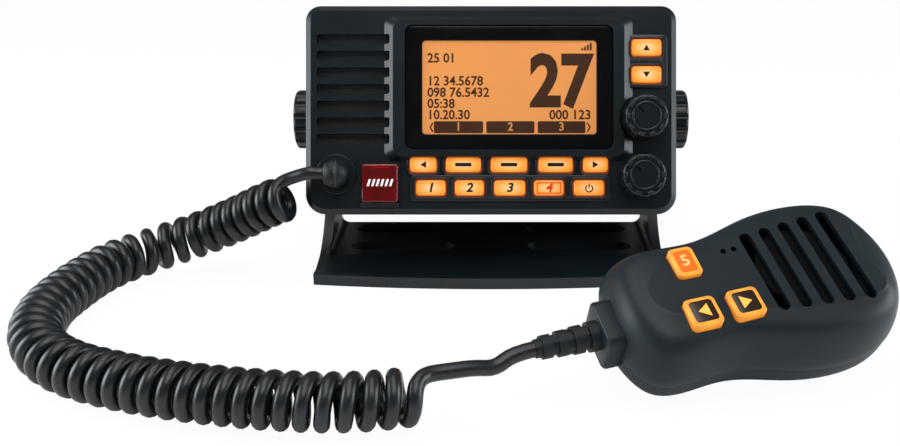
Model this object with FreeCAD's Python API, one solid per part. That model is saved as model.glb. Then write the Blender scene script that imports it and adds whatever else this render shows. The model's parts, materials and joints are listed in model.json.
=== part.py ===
import FreeCAD, Part
import math
import os

from FreeCAD import Placement, Rotation, Vector

# Fixed-mount marine radio on a gimbal bracket, with a hand microphone on a curly cord.
# Millimetres. X to the right of the face, +Y away from the person using it, +Z up.
# The origin is the centre of the bracket's four screw slots, on the surface it stands on.

# Gimbal bracket
bracket_width = 156.0
bracket_ear_wall = 4.6
bracket_base_wall = 5.85
bracket_back = 21.0
bracket_front = 44.0
bracket_bow = 5.0
bracket_lip_height = 5.0
bracket_lip_depth = 3.5
bracket_slope_start = 22.0
bracket_slope_low = 3.0
bracket_fillet = 4.0
bracket_ear_radius = 15.0
bracket_ear_neck = 13.0
slot_length = 48.0
slot_width = 10.0
slot_spacing_x = 82.0
slot_spacing_y = 23.0
pivot_height = 60.0
pivot_setback = 13.0

# Radio as it is tilted in the bracket
radio_tilt = 20.0
panel_width = 160.0
panel_height = 90.0
panel_depth = 16.0
panel_wall = 3.0
panel_radius_low = 8.6
panel_radius_high = 6.5
panel_chamfer = 2.4
panel_to_pivot = 44.0

# Raised display surround, window and display
surround_left = -46.5
surround_right = 61.5
surround_low = -22.4
surround_high = 40.4
surround_rise = 3.0
surround_slope = 4.5
surround_radius = 4.0
lens_left = -36.6
lens_right = 52.0
lens_low = -16.8
lens_high = 35.7
lens_radius = 3.0
lens_wall = 2.0
lens_sink = 0.5
window_left = -29.7
window_right = 45.4
window_low = -11.0
window_high = 29.7
window_radius = 2.0
display_depth = 5.0

# Speaker behind its slots
speaker_slot_left = -75.0
speaker_slot_right = -43.5
speaker_slot_high = 30.3
speaker_slot_pitch = 7.15
speaker_slot_height = 4.3
speaker_slot_count = 7
speaker_slot_radius = 0.9
speaker_radius = 21.0
speaker_depth = 9.0
cloth_wall = 0.5

# Front keys
key_upper_row = -23.7
key_lower_row = -33.7
key_height = 6.5
key_proud = 1.8
key_radius = 1.4
key_flange = 0.8
key_flange_wall = 0.9
key_travel = 0.9
membrane_wall = 1.0
membrane_margin = 1.5
board_wall = 1.6
board_left = -35.5
side_key_x = 66.6
side_key_width = 12.7
side_key_height = 7.1
side_key_up = 26.5
side_key_down = 14.9
upper_keys = {
    "key_left": (-29.1, 11.3),
    "key_soft_1": (-11.9, 14.9),
    "key_soft_2": (7.7, 15.5),
    "key_soft_3": (27.7, 14.6),
    "key_right": (44.8, 10.5),
}
lower_keys = {
    "key_high_low": (-25.9, 12.6),
    "key_menu": (-9.3, 12.3),
    "key_clear": (8.0, 13.2),
    "key_call_channel": (24.8, 12.6),
    "key_power": (42.0, 12.9),
}

# Rotary knobs
knob_radius = 9.6
knob_height = 13.0
knob_cap_radius = 5.2
knob_grip_count = 10
knob_grip_radius = 1.5
knob_shaft_radius = 3.0
knob_well_gap = 0.9
knob_notch = 1.2
encoder_side = 11.0
encoder_depth = 3.0
volume_knob_at = (65.2, -3.9)
squelch_knob_at = (64.3, -28.6)

# Distress button under its lifting cover
cover_x = -47.3
cover_z = -31.8
cover_width = 15.4
cover_height = 16.3
cover_rise = 6.5
cover_wall = 1.3
cover_pin_radius = 0.9
cover_pin_drop = 1.7
distress_width = 8.6
distress_height = 6.8
distress_proud = 2.6
distress_radius = 1.0
cover_lug_wall = 2.0
cover_lug_half = 1.8
cover_pin_back = 1.9

# Microphone cord outlet on the face
outlet_x = -66.5
outlet_z = -27.7
outlet_radius = 8.6
outlet_bore = 6.2
outlet_ring_rise = 0.9
boot_radius = 6.0
boot_tip_radius = 4.1
boot_reach = 6.3
boot_tip_x = -70.8
boot_rib_count = 4

# Rear chassis
chassis_height = 68.0
chassis_length = 93.0
chassis_wall = 2.8
chassis_radius = 5.0
gasket_wall = 1.0
flange_wall = 4.0
flange_inset = 1.6
fin_count = 11
fin_wall = 1.8
fin_height = 5.0
fin_inset = 12.0
case_screw_radius = 1.5
case_screw_head = 2.8
case_screw_length = 11.0
case_screw_spread_x = 71.0
case_screw_spread_z = 38.0
case_boss_wall = 2.2
case_boss_floor = 1.5
main_board_length = 78.0
main_board_lift = 6.0
main_board_gap = 4.0
shield_height = 7.4
shield_length = 42.0
board_foot_radius = 3.0
board_foot_inset = 6.0
antenna_x = 38.0
antenna_z = 8.0
antenna_thread_radius = 7.9
antenna_length = 14.0
antenna_pin_radius = 2.0
antenna_collar = 3.0
antenna_recess = 8.0
cable_gland_x = -30.0
cable_gland_radius = 8.0
cable_gland_bore = 4.5

# Tilt pivot and its hand knobs
washer_wall = 3.2
washer_radius = 13.0
insert_radius = 6.0
insert_length = 9.0
stud_radius = 3.0
stud_engagement = 8.0
clamp_knob_radius = 13.6
clamp_knob_length = 12.6
clamp_flute_count = 14
clamp_flute_radius = 1.6

# Hand microphone
mic_length = 106.0
mic_thickness = 34.0
mic_wall = 2.4
mic_parting = 13.0
mic_yaw = 17.3
mic_pitch = 4.8
mic_roll = 29.4
mic_at = Vector(41.2, -133.8, 10.2)
mic_half_end = 22.0
mic_half_waist = 24.5
mic_half_wide = 32.0
mic_half_top = 24.0
mic_back_levels = [(6.5, 0.0), (3.4, 2.2), (1.4, 6.0), (0.4, mic_parting)]
mic_slot_first = 54.0
mic_slot_pitch = 8.1
mic_slot_count = 5
mic_slot_width = 4.6
mic_slot_depth = 6.0
mic_slot_short = 34.5
mic_slot_long = 40.2
mic_key_left_at = (25.0, -11.6)
mic_key_right_at = (41.0, -11.6)
mic_key_call_at = (27.6, 9.6)
mic_key_side = 11.5
mic_key_proud = 1.6
mic_key_travel = 0.8
mic_hole_radius = 1.1
mic_hole_places = [(43.5, 11.5), (47.6, 11.5)]
mic_board_start = 14.0
mic_board_end = 47.5
mic_board_half = 16.0
mic_post_radius = 2.2
mic_post_places = [(24.0, -6.0), (24.0, 6.0), (44.0, 0.0)]
mic_capsule_radius = 3.0
mic_speaker_radius = 17.0
mic_speaker_depth = 6.0
ptt_length = 34.0
ptt_height = 11.0
ptt_proud = 4.0
ptt_x = 52.0
hanger_radius = 8.5
hanger_neck_radius = 4.5
hanger_height = 13.3
hanger_x = 70.0
block_length = 12.0
block_width = 24.0
block_height = 20.0
mic_boot_length = 22.0
mic_boot_radius = 5.4
mic_boot_tip_radius = 4.2
mic_boot_rings = 4
mic_axis_height = 16.0

# Curly cord
cord_diameter = 5.6
coil_diameter = 20.8
coil_gap = 0.75
coil_exit_radius = 8.2
coil_step = 0.25
lead_short = 2.4
lead_straight = 8.0
lead_sag = Vector(0.6, -0.6, -2.6)
coil_axis = [
    (-81.2, -43.6, 42.2),
    (-92.5, -40.3, 38.0),
    (-108.0, -33.5, 28.5),
    (-129.0, -27.5, 18.0),
    (-151.0, -32.0, 11.8),
    (-165.5, -49.0, 11.3),
    (-172.0, -73.0, 11.3),
    (-175.0, -97.0, 11.3),
    (-169.0, -123.0, 11.3),
    (-152.0, -143.0, 11.3),
    (-123.0, -156.0, 11.3),
    (-92.0, -164.0, 11.3),
    (-62.0, -168.5, 11.3),
    (-37.0, -168.0, 11.3),
    (-18.5, -162.2, 11.3),
]

# Clearances
slide_gap = 0.3
turn_gap = 0.2
seat_gap = 0.05
overlap = 0.5

face_y = -panel_to_pivot
wall_y = face_y + panel_wall
panel_back_y = face_y + panel_depth
flange_y = panel_back_y + gasket_wall
chassis_y = flange_y + flange_wall
chassis_back_y = flange_y + chassis_length
chassis_half = bracket_width / 2 - bracket_ear_wall - washer_wall - turn_gap
panel_half_x = panel_width / 2
panel_half_z = panel_height / 2
inner_half_x = panel_half_x - panel_wall
inner_half_z = panel_half_z - panel_wall
key_back_y = wall_y + slide_gap
membrane_y = key_back_y + key_flange_wall + key_travel + slide_gap
board_y = membrane_y + membrane_wall + seat_gap
board_back_y = board_y + board_wall
coil_radius = (coil_diameter - cord_diameter) / 2


def save(name, *solids):
    """Writes one named node from its solids."""
    shape = solids[0] if len(solids) == 1 else Part.makeCompound(list(solids))
    shape.exportStep("parts/" + name + ".step")
    print(f"{name}: {len(shape.Solids)} solid, {shape.Volume / 1000:.2f} cm3, valid {shape.isValid()}")


def join(solids):
    """One solid from several that overlap."""
    whole = solids[0].fuse(list(solids[1:])) if len(solids) > 1 else solids[0]
    return whole.removeSplitter()


def box(x0, x1, y0, y1, z0, z1):
    return Part.makeBox(x1 - x0, y1 - y0, z1 - z0, Vector(x0, y0, z0))


def rod(radius, start, end):
    """A round bar from one point to another."""
    a, b = Vector(*start), Vector(*end)
    return Part.makeCylinder(radius, (b - a).Length, a, b - a)


def taper(radius_a, radius_b, start, end):
    """A cone frustum from one point to another."""
    a, b = Vector(*start), Vector(*end)
    return Part.makeCone(radius_a, radius_b, (b - a).Length, a, b - a)


def rounded_wire(x0, x1, z0, z1, y, low, high):
    """A rectangle facing Y, with its lower and its upper corners rounded."""
    corners = [
        (x0 + low, z0 + low, low, 180),
        (x1 - low, z0 + low, low, 270),
        (x1 - high, z1 - high, high, 0),
        (x0 + high, z1 - high, high, 90),
    ]
    arcs = []
    for cx, cz, radius, start in corners:
        angles = [math.radians(start + turn) for turn in (0, 45, 90)]
        points = [Vector(cx + radius * math.cos(a), y, cz + radius * math.sin(a)) for a in angles]
        arcs.append(points)
    edges = []
    for index, points in enumerate(arcs):
        edges.append(Part.Arc(*points).toShape())
        edges.append(Part.LineSegment(points[2], arcs[(index + 1) % 4][0]).toShape())
    return Part.Wire(edges)


def plate(x0, x1, z0, z1, y0, y1, low, high=None):
    """A rounded slab facing Y, from y0 back to y1."""
    wire = rounded_wire(x0, x1, z0, z1, y0, low, low if high is None else high)
    return Part.Face(wire).extrude(Vector(0, y1 - y0, 0))


def centred_plate(x, z, width, height, y0, y1, radius):
    return plate(x - width / 2, x + width / 2, z - height / 2, z + height / 2, y0, y1, radius)


def edges_at(shape, axis, value):
    """The edges that lie wholly in one plane."""
    low, high = {"x": ("XMin", "XMax"), "y": ("YMin", "YMax"), "z": ("ZMin", "ZMax")}[axis]
    found = []
    for edge in shape.Edges:
        bounds = edge.BoundBox
        if abs(getattr(bounds, low) - value) < 0.01 and abs(getattr(bounds, high) - value) < 0.01:
            found.append(edge)
    return found


def slot_prism(centre, along, length, width, height):
    """A round-ended slot that stands on its centre, with its length along a direction."""
    across = Vector(0, 0, 1).cross(along)
    run = along * ((length - width) / 2)
    side = across * (width / 2)
    tip = along * (length / 2)
    edges = [
        Part.LineSegment(centre - run - side, centre + run - side).toShape(),
        Part.Arc(centre + run - side, centre + tip, centre + run + side).toShape(),
        Part.LineSegment(centre + run + side, centre - run + side).toShape(),
        Part.Arc(centre - run + side, centre - tip, centre - run - side).toShape(),
    ]
    return Part.Face(Part.Wire(edges)).extrude(Vector(0, 0, height))


def placed(shape, placement):
    moved = shape.copy()
    moved.Placement = placement.multiply(moved.Placement)
    return moved


radio_place = Placement(Vector(0, pivot_setback, pivot_height), Rotation(Vector(1, 0, 0), -radio_tilt))
mic_turn = Rotation(Vector(0, 0, 1), mic_yaw)
mic_turn = mic_turn.multiply(Rotation(Vector(0, 1, 0), -mic_pitch))
mic_turn = mic_turn.multiply(Rotation(Vector(1, 0, 0), mic_roll))
mic_place = Placement(mic_at, mic_turn)


def save_radio(name, *solids):
    save(name, *[placed(solid, radio_place) for solid in solids])


def save_mic(name, *solids):
    save(name, *[placed(solid, mic_place) for solid in solids])


# Bracket
def bracket_base():
    half = bracket_width / 2
    front = Vector(0, -bracket_front - bracket_bow, 0)
    corners = [Vector(-half, -bracket_front, 0), Vector(half, -bracket_front, 0)]
    backs = [Vector(half, bracket_back, 0), Vector(-half, bracket_back, 0)]
    bow = Part.Arc(corners[0], front, corners[1]).toShape()
    sides = [Part.LineSegment(corners[1], backs[0]).toShape()]
    sides.append(Part.LineSegment(backs[0], backs[1]).toShape())
    sides.append(Part.LineSegment(backs[1], corners[0]).toShape())
    outline = Part.Face(Part.Wire([bow] + sides))
    floor = outline.extrude(Vector(0, 0, bracket_base_wall))
    low_y = -bracket_front - bracket_bow
    slope = [
        Vector(-half - 1, -bracket_slope_start, bracket_base_wall),
        Vector(-half - 1, low_y - 1, bracket_slope_low),
        Vector(-half - 1, low_y - 1, bracket_base_wall + 1),
        Vector(-half - 1, -bracket_slope_start, bracket_base_wall + 1),
    ]
    cut = Part.Face(Part.makePolygon(slope + [slope[0]])).extrude(Vector(bracket_width + 2, 0, 0))
    lip = outline.extrude(Vector(0, 0, bracket_lip_height))
    behind = outline.copy()
    behind.translate(Vector(0, bracket_lip_depth, 0))
    lip = lip.cut(behind.extrude(Vector(0, 0, bracket_lip_height)))
    lip = lip.cut(box(-half - 1, half + 1, bracket_back - 1, bracket_back + 9, -1, bracket_lip_height + 1))
    return join([floor.cut(cut), lip])


def bracket_ear(side):
    """One upright: straight at the back, swept forward to the base's front corner."""
    x = side * bracket_width / 2
    front_y = pivot_setback - bracket_ear_radius
    back_y = pivot_setback + bracket_ear_radius
    foot = Vector(x, -bracket_front, 0)
    foot_top = Vector(x, -bracket_front, bracket_lip_height)
    sweep_mid = Vector(x, -bracket_slope_start, bracket_base_wall + 0.6)
    neck = Vector(x, front_y, bracket_ear_neck + bracket_base_wall)
    shoulder = Vector(x, front_y, pivot_height)
    crown = Vector(x, pivot_setback, pivot_height + bracket_ear_radius)
    rear = Vector(x, back_y, pivot_height)
    heel = Vector(x, bracket_back, 0)
    edges = [
        Part.LineSegment(foot, foot_top).toShape(),
        Part.Arc(foot_top, sweep_mid, neck).toShape(),
        Part.LineSegment(neck, shoulder).toShape(),
        Part.Arc(shoulder, crown, rear).toShape(),
        Part.LineSegment(rear, heel).toShape(),
        Part.LineSegment(heel, foot).toShape(),
    ]
    ear = Part.Face(Part.Wire(edges)).extrude(Vector(-side * bracket_ear_wall, 0, 0))
    reach = bracket_ear_wall + 1
    hole_radius = stud_radius + turn_gap
    outside = (x + side, pivot_setback, pivot_height)
    inside = (x - side * reach, pivot_setback, pivot_height)
    hole = rod(hole_radius, outside, inside)
    return ear.cut(hole)


def bracket():
    half_inner = bracket_width / 2 - bracket_ear_wall
    pieces = [bracket_base(), bracket_ear(-1), bracket_ear(1)]
    for side in (-1, 1):
        corner = side * half_inner
        toe = corner - side * bracket_fillet
        block = box(min(corner, toe), max(corner, toe), -bracket_slope_start, bracket_back,
                    bracket_base_wall, bracket_base_wall + bracket_fillet)
        axis_z = bracket_base_wall + bracket_fillet
        fillet_end = (toe, bracket_back + 1, axis_z)
        round_cut = rod(bracket_fillet, (toe, -bracket_slope_start - 1, axis_z), fillet_end)
        pieces.append(block.cut(round_cut))
    body = join(pieces)
    for column in (-1, 1):
        for row in (-1, 1):
            centre = Vector(column * slot_spacing_x / 2, row * slot_spacing_y / 2, -1)
            slot = slot_prism(centre, Vector(1, 0, 0), slot_length, slot_width, bracket_base_wall + 2)
            body = body.cut(slot)
    return body


# Front panel
def key_hole(x, z, width, height):
    gap = slide_gap * 2
    front = face_y - surround_rise - 1
    return centred_plate(x, z, width + gap, height + gap, front, wall_y + 1, key_radius + slide_gap)


def all_keys():
    """Every key of the face by name, with its centre, width and height."""
    keys = {name: (x, key_upper_row, width, key_height) for name, (x, width) in upper_keys.items()}
    keys.update({name: (x, key_lower_row, width, key_height) for name, (x, width) in lower_keys.items()})
    keys["key_up"] = (side_key_x, side_key_up, side_key_width, side_key_height)
    keys["key_down"] = (side_key_x, side_key_down, side_key_width, side_key_height)
    return keys


def display_surround():
    """The raised frame round the window, with sloping sides."""
    foot = rounded_wire(surround_left, surround_right, surround_low, surround_high, face_y + overlap,
                        surround_radius, surround_radius)
    inset = surround_slope
    top = rounded_wire(surround_left + inset, surround_right - inset, surround_low + inset / 2,
                       surround_high - inset / 2, face_y - surround_rise, surround_radius, surround_radius)
    return Part.makeLoft([foot, top], True, True)


def screw_places():
    return [(sx * case_screw_spread_x, sz * case_screw_spread_z) for sx in (-1, 1) for sz in (-1, 1)]


def front_panel():
    shell = plate(-panel_half_x, panel_half_x, -panel_half_z, panel_half_z, face_y, panel_back_y,
                  panel_radius_low, panel_radius_high)
    shell = shell.makeChamfer(panel_chamfer, edges_at(shell, "y", face_y))
    hollow = plate(-inner_half_x, inner_half_x, -inner_half_z, inner_half_z, wall_y, panel_back_y + 1,
                   panel_radius_low - panel_wall, panel_radius_high - panel_wall)
    shell = shell.cut(hollow)
    shell = join([shell, display_surround()])
    boss_radius = case_screw_radius + case_boss_wall
    for x, z in screw_places():
        boss = rod(boss_radius, (x, wall_y - overlap, z), (x, panel_back_y, z))
        bore_radius = case_screw_radius + slide_gap / 2
        bore = rod(bore_radius, (x, wall_y + case_boss_floor, z), (x, panel_back_y + 1, z))
        shell = join([shell, boss]).cut(bore)
    surround_top = face_y - surround_rise
    pocket_floor = surround_top + lens_sink + lens_wall
    lens_pocket = plate(lens_left - slide_gap, lens_right + slide_gap, lens_low - slide_gap,
                        lens_high + slide_gap, surround_top - 1, pocket_floor, lens_radius + slide_gap)
    window = plate(window_left, window_right, window_low, window_high, surround_top - 1, wall_y + 1,
                   window_radius)
    shell = shell.cut(lens_pocket).cut(window)
    for index in range(speaker_slot_count):
        z = speaker_slot_high - index * speaker_slot_pitch
        half = speaker_slot_height / 2
        slot = plate(speaker_slot_left, speaker_slot_right, z - half, z + half, surround_top - 1, wall_y + 1,
                     speaker_slot_radius)
        shell = shell.cut(slot)
    for x, z, width, height in all_keys().values():
        shell = shell.cut(key_hole(x, z, width, height))
    for x, z in (volume_knob_at, squelch_knob_at):
        well = rod(knob_radius + knob_well_gap, (x, surround_top - 1, z), (x, face_y, z))
        hole = rod(knob_shaft_radius + slide_gap, (x, face_y - 1, z), (x, wall_y + 1, z))
        shell = shell.cut(well).cut(hole)
    button_gap = slide_gap * 4
    cover_pocket = centred_plate(cover_x, cover_z, distress_width + button_gap, distress_height + button_gap,
                                 face_y - 1, wall_y + 1, distress_radius)
    outlet = rod(outlet_bore, (outlet_x, face_y - 1, outlet_z), (outlet_x, wall_y + 1, outlet_z))
    shell = shell.cut(cover_pocket).cut(outlet)
    ears = []
    for side in (-1, 1):
        inner = cover_x + side * (cover_width / 2 - cover_wall - slide_gap)
        outer = inner - side * cover_lug_wall
        y, z = cover_hinge_y(), cover_hinge_z()
        lug = box(min(inner, outer), max(inner, outer), y - cover_lug_half - turn_gap, face_y + overlap,
                  z - cover_lug_half, z + cover_lug_half)
        ears.append(lug.cut(rod(cover_pin_radius + turn_gap, (inner - 5, y, z), (inner + 5, y, z))))
    return join([shell] + ears)


def cover_hinge_z():
    return cover_z + cover_height / 2 - cover_pin_drop


def cover_hinge_y():
    return face_y - cover_pin_back


def key(x, z, width, height, proud=key_proud, radius=key_radius):
    """A moulded key: a crowned cap through the panel and a flange behind it."""
    front = face_y - proud
    cap = centred_plate(x, z, width, height, front, key_back_y + key_flange_wall / 2, radius)
    cap = cap.makeFillet(0.6, edges_at(cap, "y", front))
    grow = key_flange * 2
    flange_back = key_back_y + key_flange_wall
    flange = centred_plate(x, z, width + grow, height + grow, key_back_y, flange_back, radius)
    return join([cap, flange])


def make_face():
    save_radio("front_panel", front_panel())
    surround_top = face_y - surround_rise
    lens_y = surround_top + lens_sink
    lens_back = lens_y + lens_wall - seat_gap
    lens = plate(lens_left, lens_right, lens_low, lens_high, lens_y, lens_back, lens_radius)
    save_radio("display_lens", lens.makeFillet(0.5, edges_at(lens, "y", lens_y)))
    display_y = board_y - seat_gap - display_depth
    edge = slide_gap
    display = plate(window_left + edge, window_right - edge, window_low + edge, window_high - edge,
                    display_y, board_y - seat_gap, 1.0)
    save_radio("lcd_module", display)
    for name, (x, z, width, height) in all_keys().items():
        save_radio(name, key(x, z, width, height))
    rows = list(upper_keys.values()) + list(lower_keys.values())
    left = min(x - width / 2 for x, width in rows) - membrane_margin
    right = max(x + width / 2 for x, width in rows) + membrane_margin
    low = key_lower_row - key_height / 2 - membrane_margin
    high = key_upper_row + key_height / 2 + membrane_margin
    mat = plate(left, right, low, high, membrane_y, membrane_y + membrane_wall, membrane_margin)
    side_low = side_key_down - side_key_height / 2 - membrane_margin
    side_high = side_key_up + side_key_height / 2 + membrane_margin
    side_half = side_key_width / 2 + membrane_margin
    side_mat = plate(side_key_x - side_half, side_key_x + side_half, side_low, side_high,
                     membrane_y, membrane_y + membrane_wall, membrane_margin)
    save_radio("keypad_membrane", mat, side_mat)
    board = plate(board_left, inner_half_x - slide_gap, -inner_half_z + slide_gap, inner_half_z - slide_gap,
                  board_y, board_back_y, panel_radius_low - panel_wall)
    for x, z in screw_places():
        board = board.cut(rod(case_screw_radius + 3.0, (x, board_y - 1, z), (x, board_back_y + 1, z)))
    save_radio("front_board", board)


def make_speaker():
    x = (speaker_slot_left + speaker_slot_right) / 2
    z = speaker_slot_high - speaker_slot_pitch * (speaker_slot_count - 1) / 2
    cloth_y = wall_y + seat_gap
    left = speaker_slot_left - 1.0
    half_height = speaker_slot_pitch * speaker_slot_count / 2
    right = speaker_slot_right + 3.0
    cloth = plate(left, right, z - half_height, z + half_height, cloth_y, cloth_y + cloth_wall, 1.0)
    save_radio("speaker_cloth", cloth)
    front = cloth_y + cloth_wall + seat_gap
    back = front + speaker_depth
    x += speaker_radius - (speaker_slot_right - speaker_slot_left) / 2 - 1.0
    reach = min(speaker_radius, x + inner_half_x - slide_gap)
    basket = rod(reach, (x, front, z), (x, front + 1.5, z))
    cone = taper(reach - 2.0, reach * 0.55, (x, front + 1.0, z), (x, back - 3.0, z))
    magnet = rod(reach * 0.6, (x, back - 3.5, z), (x, back, z))
    save_radio("speaker", join([basket, cone, magnet]))


def rotary_knob(at):
    """A gripped knob with a raised cap disc, a pointer notch and its shaft."""
    x, z = at
    back = face_y - slide_gap
    front = back - knob_height
    skirt = taper(knob_radius, knob_radius * 0.94, (x, back, z), (x, front, z))
    skirt = skirt.makeFillet(1.2, edges_at(skirt, "y", front))
    for index in range(knob_grip_count):
        angle = math.radians(index * 360 / knob_grip_count)
        gx = x + (knob_radius + knob_grip_radius * 0.35) * math.cos(angle)
        gz = z + (knob_radius + knob_grip_radius * 0.35) * math.sin(angle)
        skirt = skirt.cut(rod(knob_grip_radius, (gx, back - 2.0, gz), (gx, front - 1, gz)))
    dish = rod(knob_cap_radius + 0.7, (x, front - 1, z), (x, front + 0.8, z))
    cap = rod(knob_cap_radius, (x, front - 0.5, z), (x, front + 2.0, z))
    skirt = join([skirt.cut(dish), cap])
    notch_low, notch_high = z + knob_cap_radius * 0.45, z + knob_cap_radius + 0.1
    notch = box(x - knob_notch / 2, x + knob_notch / 2, front - 1, front + 0.4, notch_low, notch_high)
    notch.rotate(Vector(x, 0, z), Vector(0, 1, 0), -45)
    encoder_front = board_y - seat_gap - encoder_depth
    shaft = rod(knob_shaft_radius, (x, back - 3.0, z), (x, encoder_front + encoder_depth * 0.6, z))
    return join([skirt.cut(notch), shaft])


def make_knobs():
    encoders = []
    front = board_y - seat_gap - encoder_depth
    for name, at in (("volume_knob", volume_knob_at), ("squelch_knob", squelch_knob_at)):
        x, z = at
        save_radio(name, rotary_knob(at))
        body = centred_plate(x, z, encoder_side, encoder_side, front, front + encoder_depth, 0.8)
        bore = rod(knob_shaft_radius + turn_gap, (x, front - 1, z), (x, front + encoder_depth * 0.75, z))
        encoders.append(body.cut(bore))
    save_radio("rotary_encoders", *encoders)


def make_distress():
    """The clear lifting cover, its hinge pin and the button below it."""
    half = cover_width / 2
    low = cover_z - cover_height / 2
    high = cover_z + cover_height / 2
    front = face_y - cover_rise
    back = face_y - slide_gap
    outer = plate(cover_x - half, cover_x + half, low, high, front, back, 1.0)
    outer = outer.makeFillet(0.8, edges_at(outer, "y", front))
    inner = box(cover_x - half + cover_wall, cover_x + half - cover_wall, front + cover_wall, back + 1,
                low + cover_wall, high + 1)
    cover = outer.cut(inner)
    hinge_y, hinge_z = cover_hinge_y(), cover_hinge_z()
    corner = box(cover_x - half - 1, cover_x + half + 1, hinge_y, back + 1, hinge_z, high + 1)
    left, right = cover_x - half, cover_x + half
    cheek = rod(min(back - hinge_y, high - hinge_z), (left, hinge_y, hinge_z), (right, hinge_y, hinge_z))
    rim = cheek.cut(box(left + cover_wall, right - cover_wall, front, back + 1, low, high + 1))
    cover = join([cover.cut(corner), rim])
    pin_hole = rod(cover_pin_radius + seat_gap, (left - 1, hinge_y, hinge_z), (right + 1, hinge_y, hinge_z))
    save_radio("distress_cover", cover.cut(pin_hole))
    pin = rod(cover_pin_radius, (left + turn_gap, hinge_y, hinge_z), (right - turn_gap, hinge_y, hinge_z))
    save_radio("cover_hinge_pin", pin)
    button = key(cover_x, cover_z, distress_width, distress_height, distress_proud, distress_radius - 0.2)
    save_radio("distress_button", button)


def make_outlet():
    """The ring, the nut behind it and the ribbed elbow boot that the microphone cord leaves by."""
    ring_front = face_y - outlet_ring_rise
    ring = rod(outlet_radius, (outlet_x, ring_front, outlet_z), (outlet_x, face_y - seat_gap, outlet_z))
    ring = ring.makeFillet(0.4, edges_at(ring, "y", ring_front))
    sleeve_radius = outlet_bore - seat_gap
    sleeve = rod(sleeve_radius, (outlet_x, face_y - 0.5, outlet_z), (outlet_x, wall_y + 3.0, outlet_z))
    nut = rod(outlet_bore + 1.0, (outlet_x, wall_y + seat_gap, outlet_z), (outlet_x, wall_y + 2.5, outlet_z))
    bore_radius = outlet_bore - 1.5
    bore = rod(bore_radius, (outlet_x, face_y - 2, outlet_z), (outlet_x, wall_y + 4, outlet_z))
    save_radio("mic_cord_gland", join([ring, sleeve, nut]).cut(bore))
    axis_y = face_y - boot_reach
    stem = rod(bore_radius - seat_gap, (outlet_x, wall_y + 2.0, outlet_z), (outlet_x, axis_y, outlet_z))
    ball = Part.makeSphere(boot_radius, Vector(outlet_x, axis_y, outlet_z))
    clear = boot_radius + 3
    ball = ball.cut(box(outlet_x - clear, outlet_x + clear, ring_front - seat_gap, face_y + clear,
                        outlet_z - clear, outlet_z + clear))
    tip = (boot_tip_x, axis_y, outlet_z)
    horn = taper(boot_radius - 0.4, boot_tip_radius, (outlet_x, axis_y, outlet_z), tip)
    ribs = []
    for index in range(boot_rib_count):
        share = (index + 0.6) / boot_rib_count
        x = outlet_x + share * (boot_tip_x - outlet_x)
        radius = boot_radius + share * (boot_tip_radius - boot_radius) + 0.35
        ribs.append(rod(radius, (x + 0.3, axis_y, outlet_z), (x - 0.3, axis_y, outlet_z)))
    whole = join([stem, ball, horn] + ribs)
    past_tip = box(boot_tip_x - clear, boot_tip_x, axis_y - clear, axis_y + clear,
                   outlet_z - clear, outlet_z + clear)
    save_radio("radio_cord_boot", whole.cut(past_tip))


# Rear housing and what it holds
def make_chassis():
    half_z = chassis_height / 2
    rim_x = panel_half_x - flange_inset
    rim_z = panel_half_z - flange_inset
    rim_radius = panel_radius_high - flange_inset
    flange = plate(-rim_x, rim_x, -rim_z, rim_z, flange_y, chassis_y, rim_radius)
    body = plate(-chassis_half, chassis_half, -half_z, half_z, flange_y, chassis_back_y, chassis_radius)
    body = body.makeFillet(1.5, edges_at(body, "y", chassis_back_y))
    shell = join([flange, body])
    step = 2 * (chassis_half - fin_inset) / (fin_count - 1)
    fins = []
    for index in range(fin_count):
        x = -chassis_half + fin_inset + index * step
        left, right = x - fin_wall / 2, x + fin_wall / 2
        fins.append(box(left, right, chassis_y + fin_inset / 2, chassis_back_y - fin_inset / 3,
                        half_z - overlap, half_z + fin_height))
    shell = join([shell] + fins)
    hollow = plate(-chassis_half + chassis_wall, chassis_half - chassis_wall, -half_z + chassis_wall,
                   half_z - chassis_wall, flange_y - 1, chassis_back_y - chassis_wall, chassis_radius - 2)
    shell = shell.cut(hollow)
    for x, z in screw_places():
        shell = shell.cut(rod(case_screw_radius + slide_gap, (x, flange_y - 1, z), (x, chassis_y + 1, z)))
    for side in (-1, 1):
        x = side * chassis_half
        inner = side * (chassis_half - insert_length - 1)
        boss = rod(insert_radius + 2.5, (x - side * chassis_wall / 2, 0, 0), (inner, 0, 0))
        shell = join([shell, boss])
        bore = rod(insert_radius + seat_gap, (x + side, 0, 0), (x - side * insert_length, 0, 0))
        through = rod(stud_radius + turn_gap, (x, 0, 0), (inner - side, 0, 0))
        shell = shell.cut(bore).cut(through)
    deep = chassis_back_y - chassis_wall - 1
    socket_hole = rod(antenna_thread_radius - 1.5 + seat_gap, (antenna_x, deep, antenna_z),
                      (antenna_x, chassis_back_y + 1, antenna_z))
    gland_hole = rod(cable_gland_radius - 1.5 + seat_gap, (cable_gland_x, deep, 0),
                     (cable_gland_x, chassis_back_y + 1, 0))
    save_radio("rear_chassis", shell.cut(socket_hole).cut(gland_hole))


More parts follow.
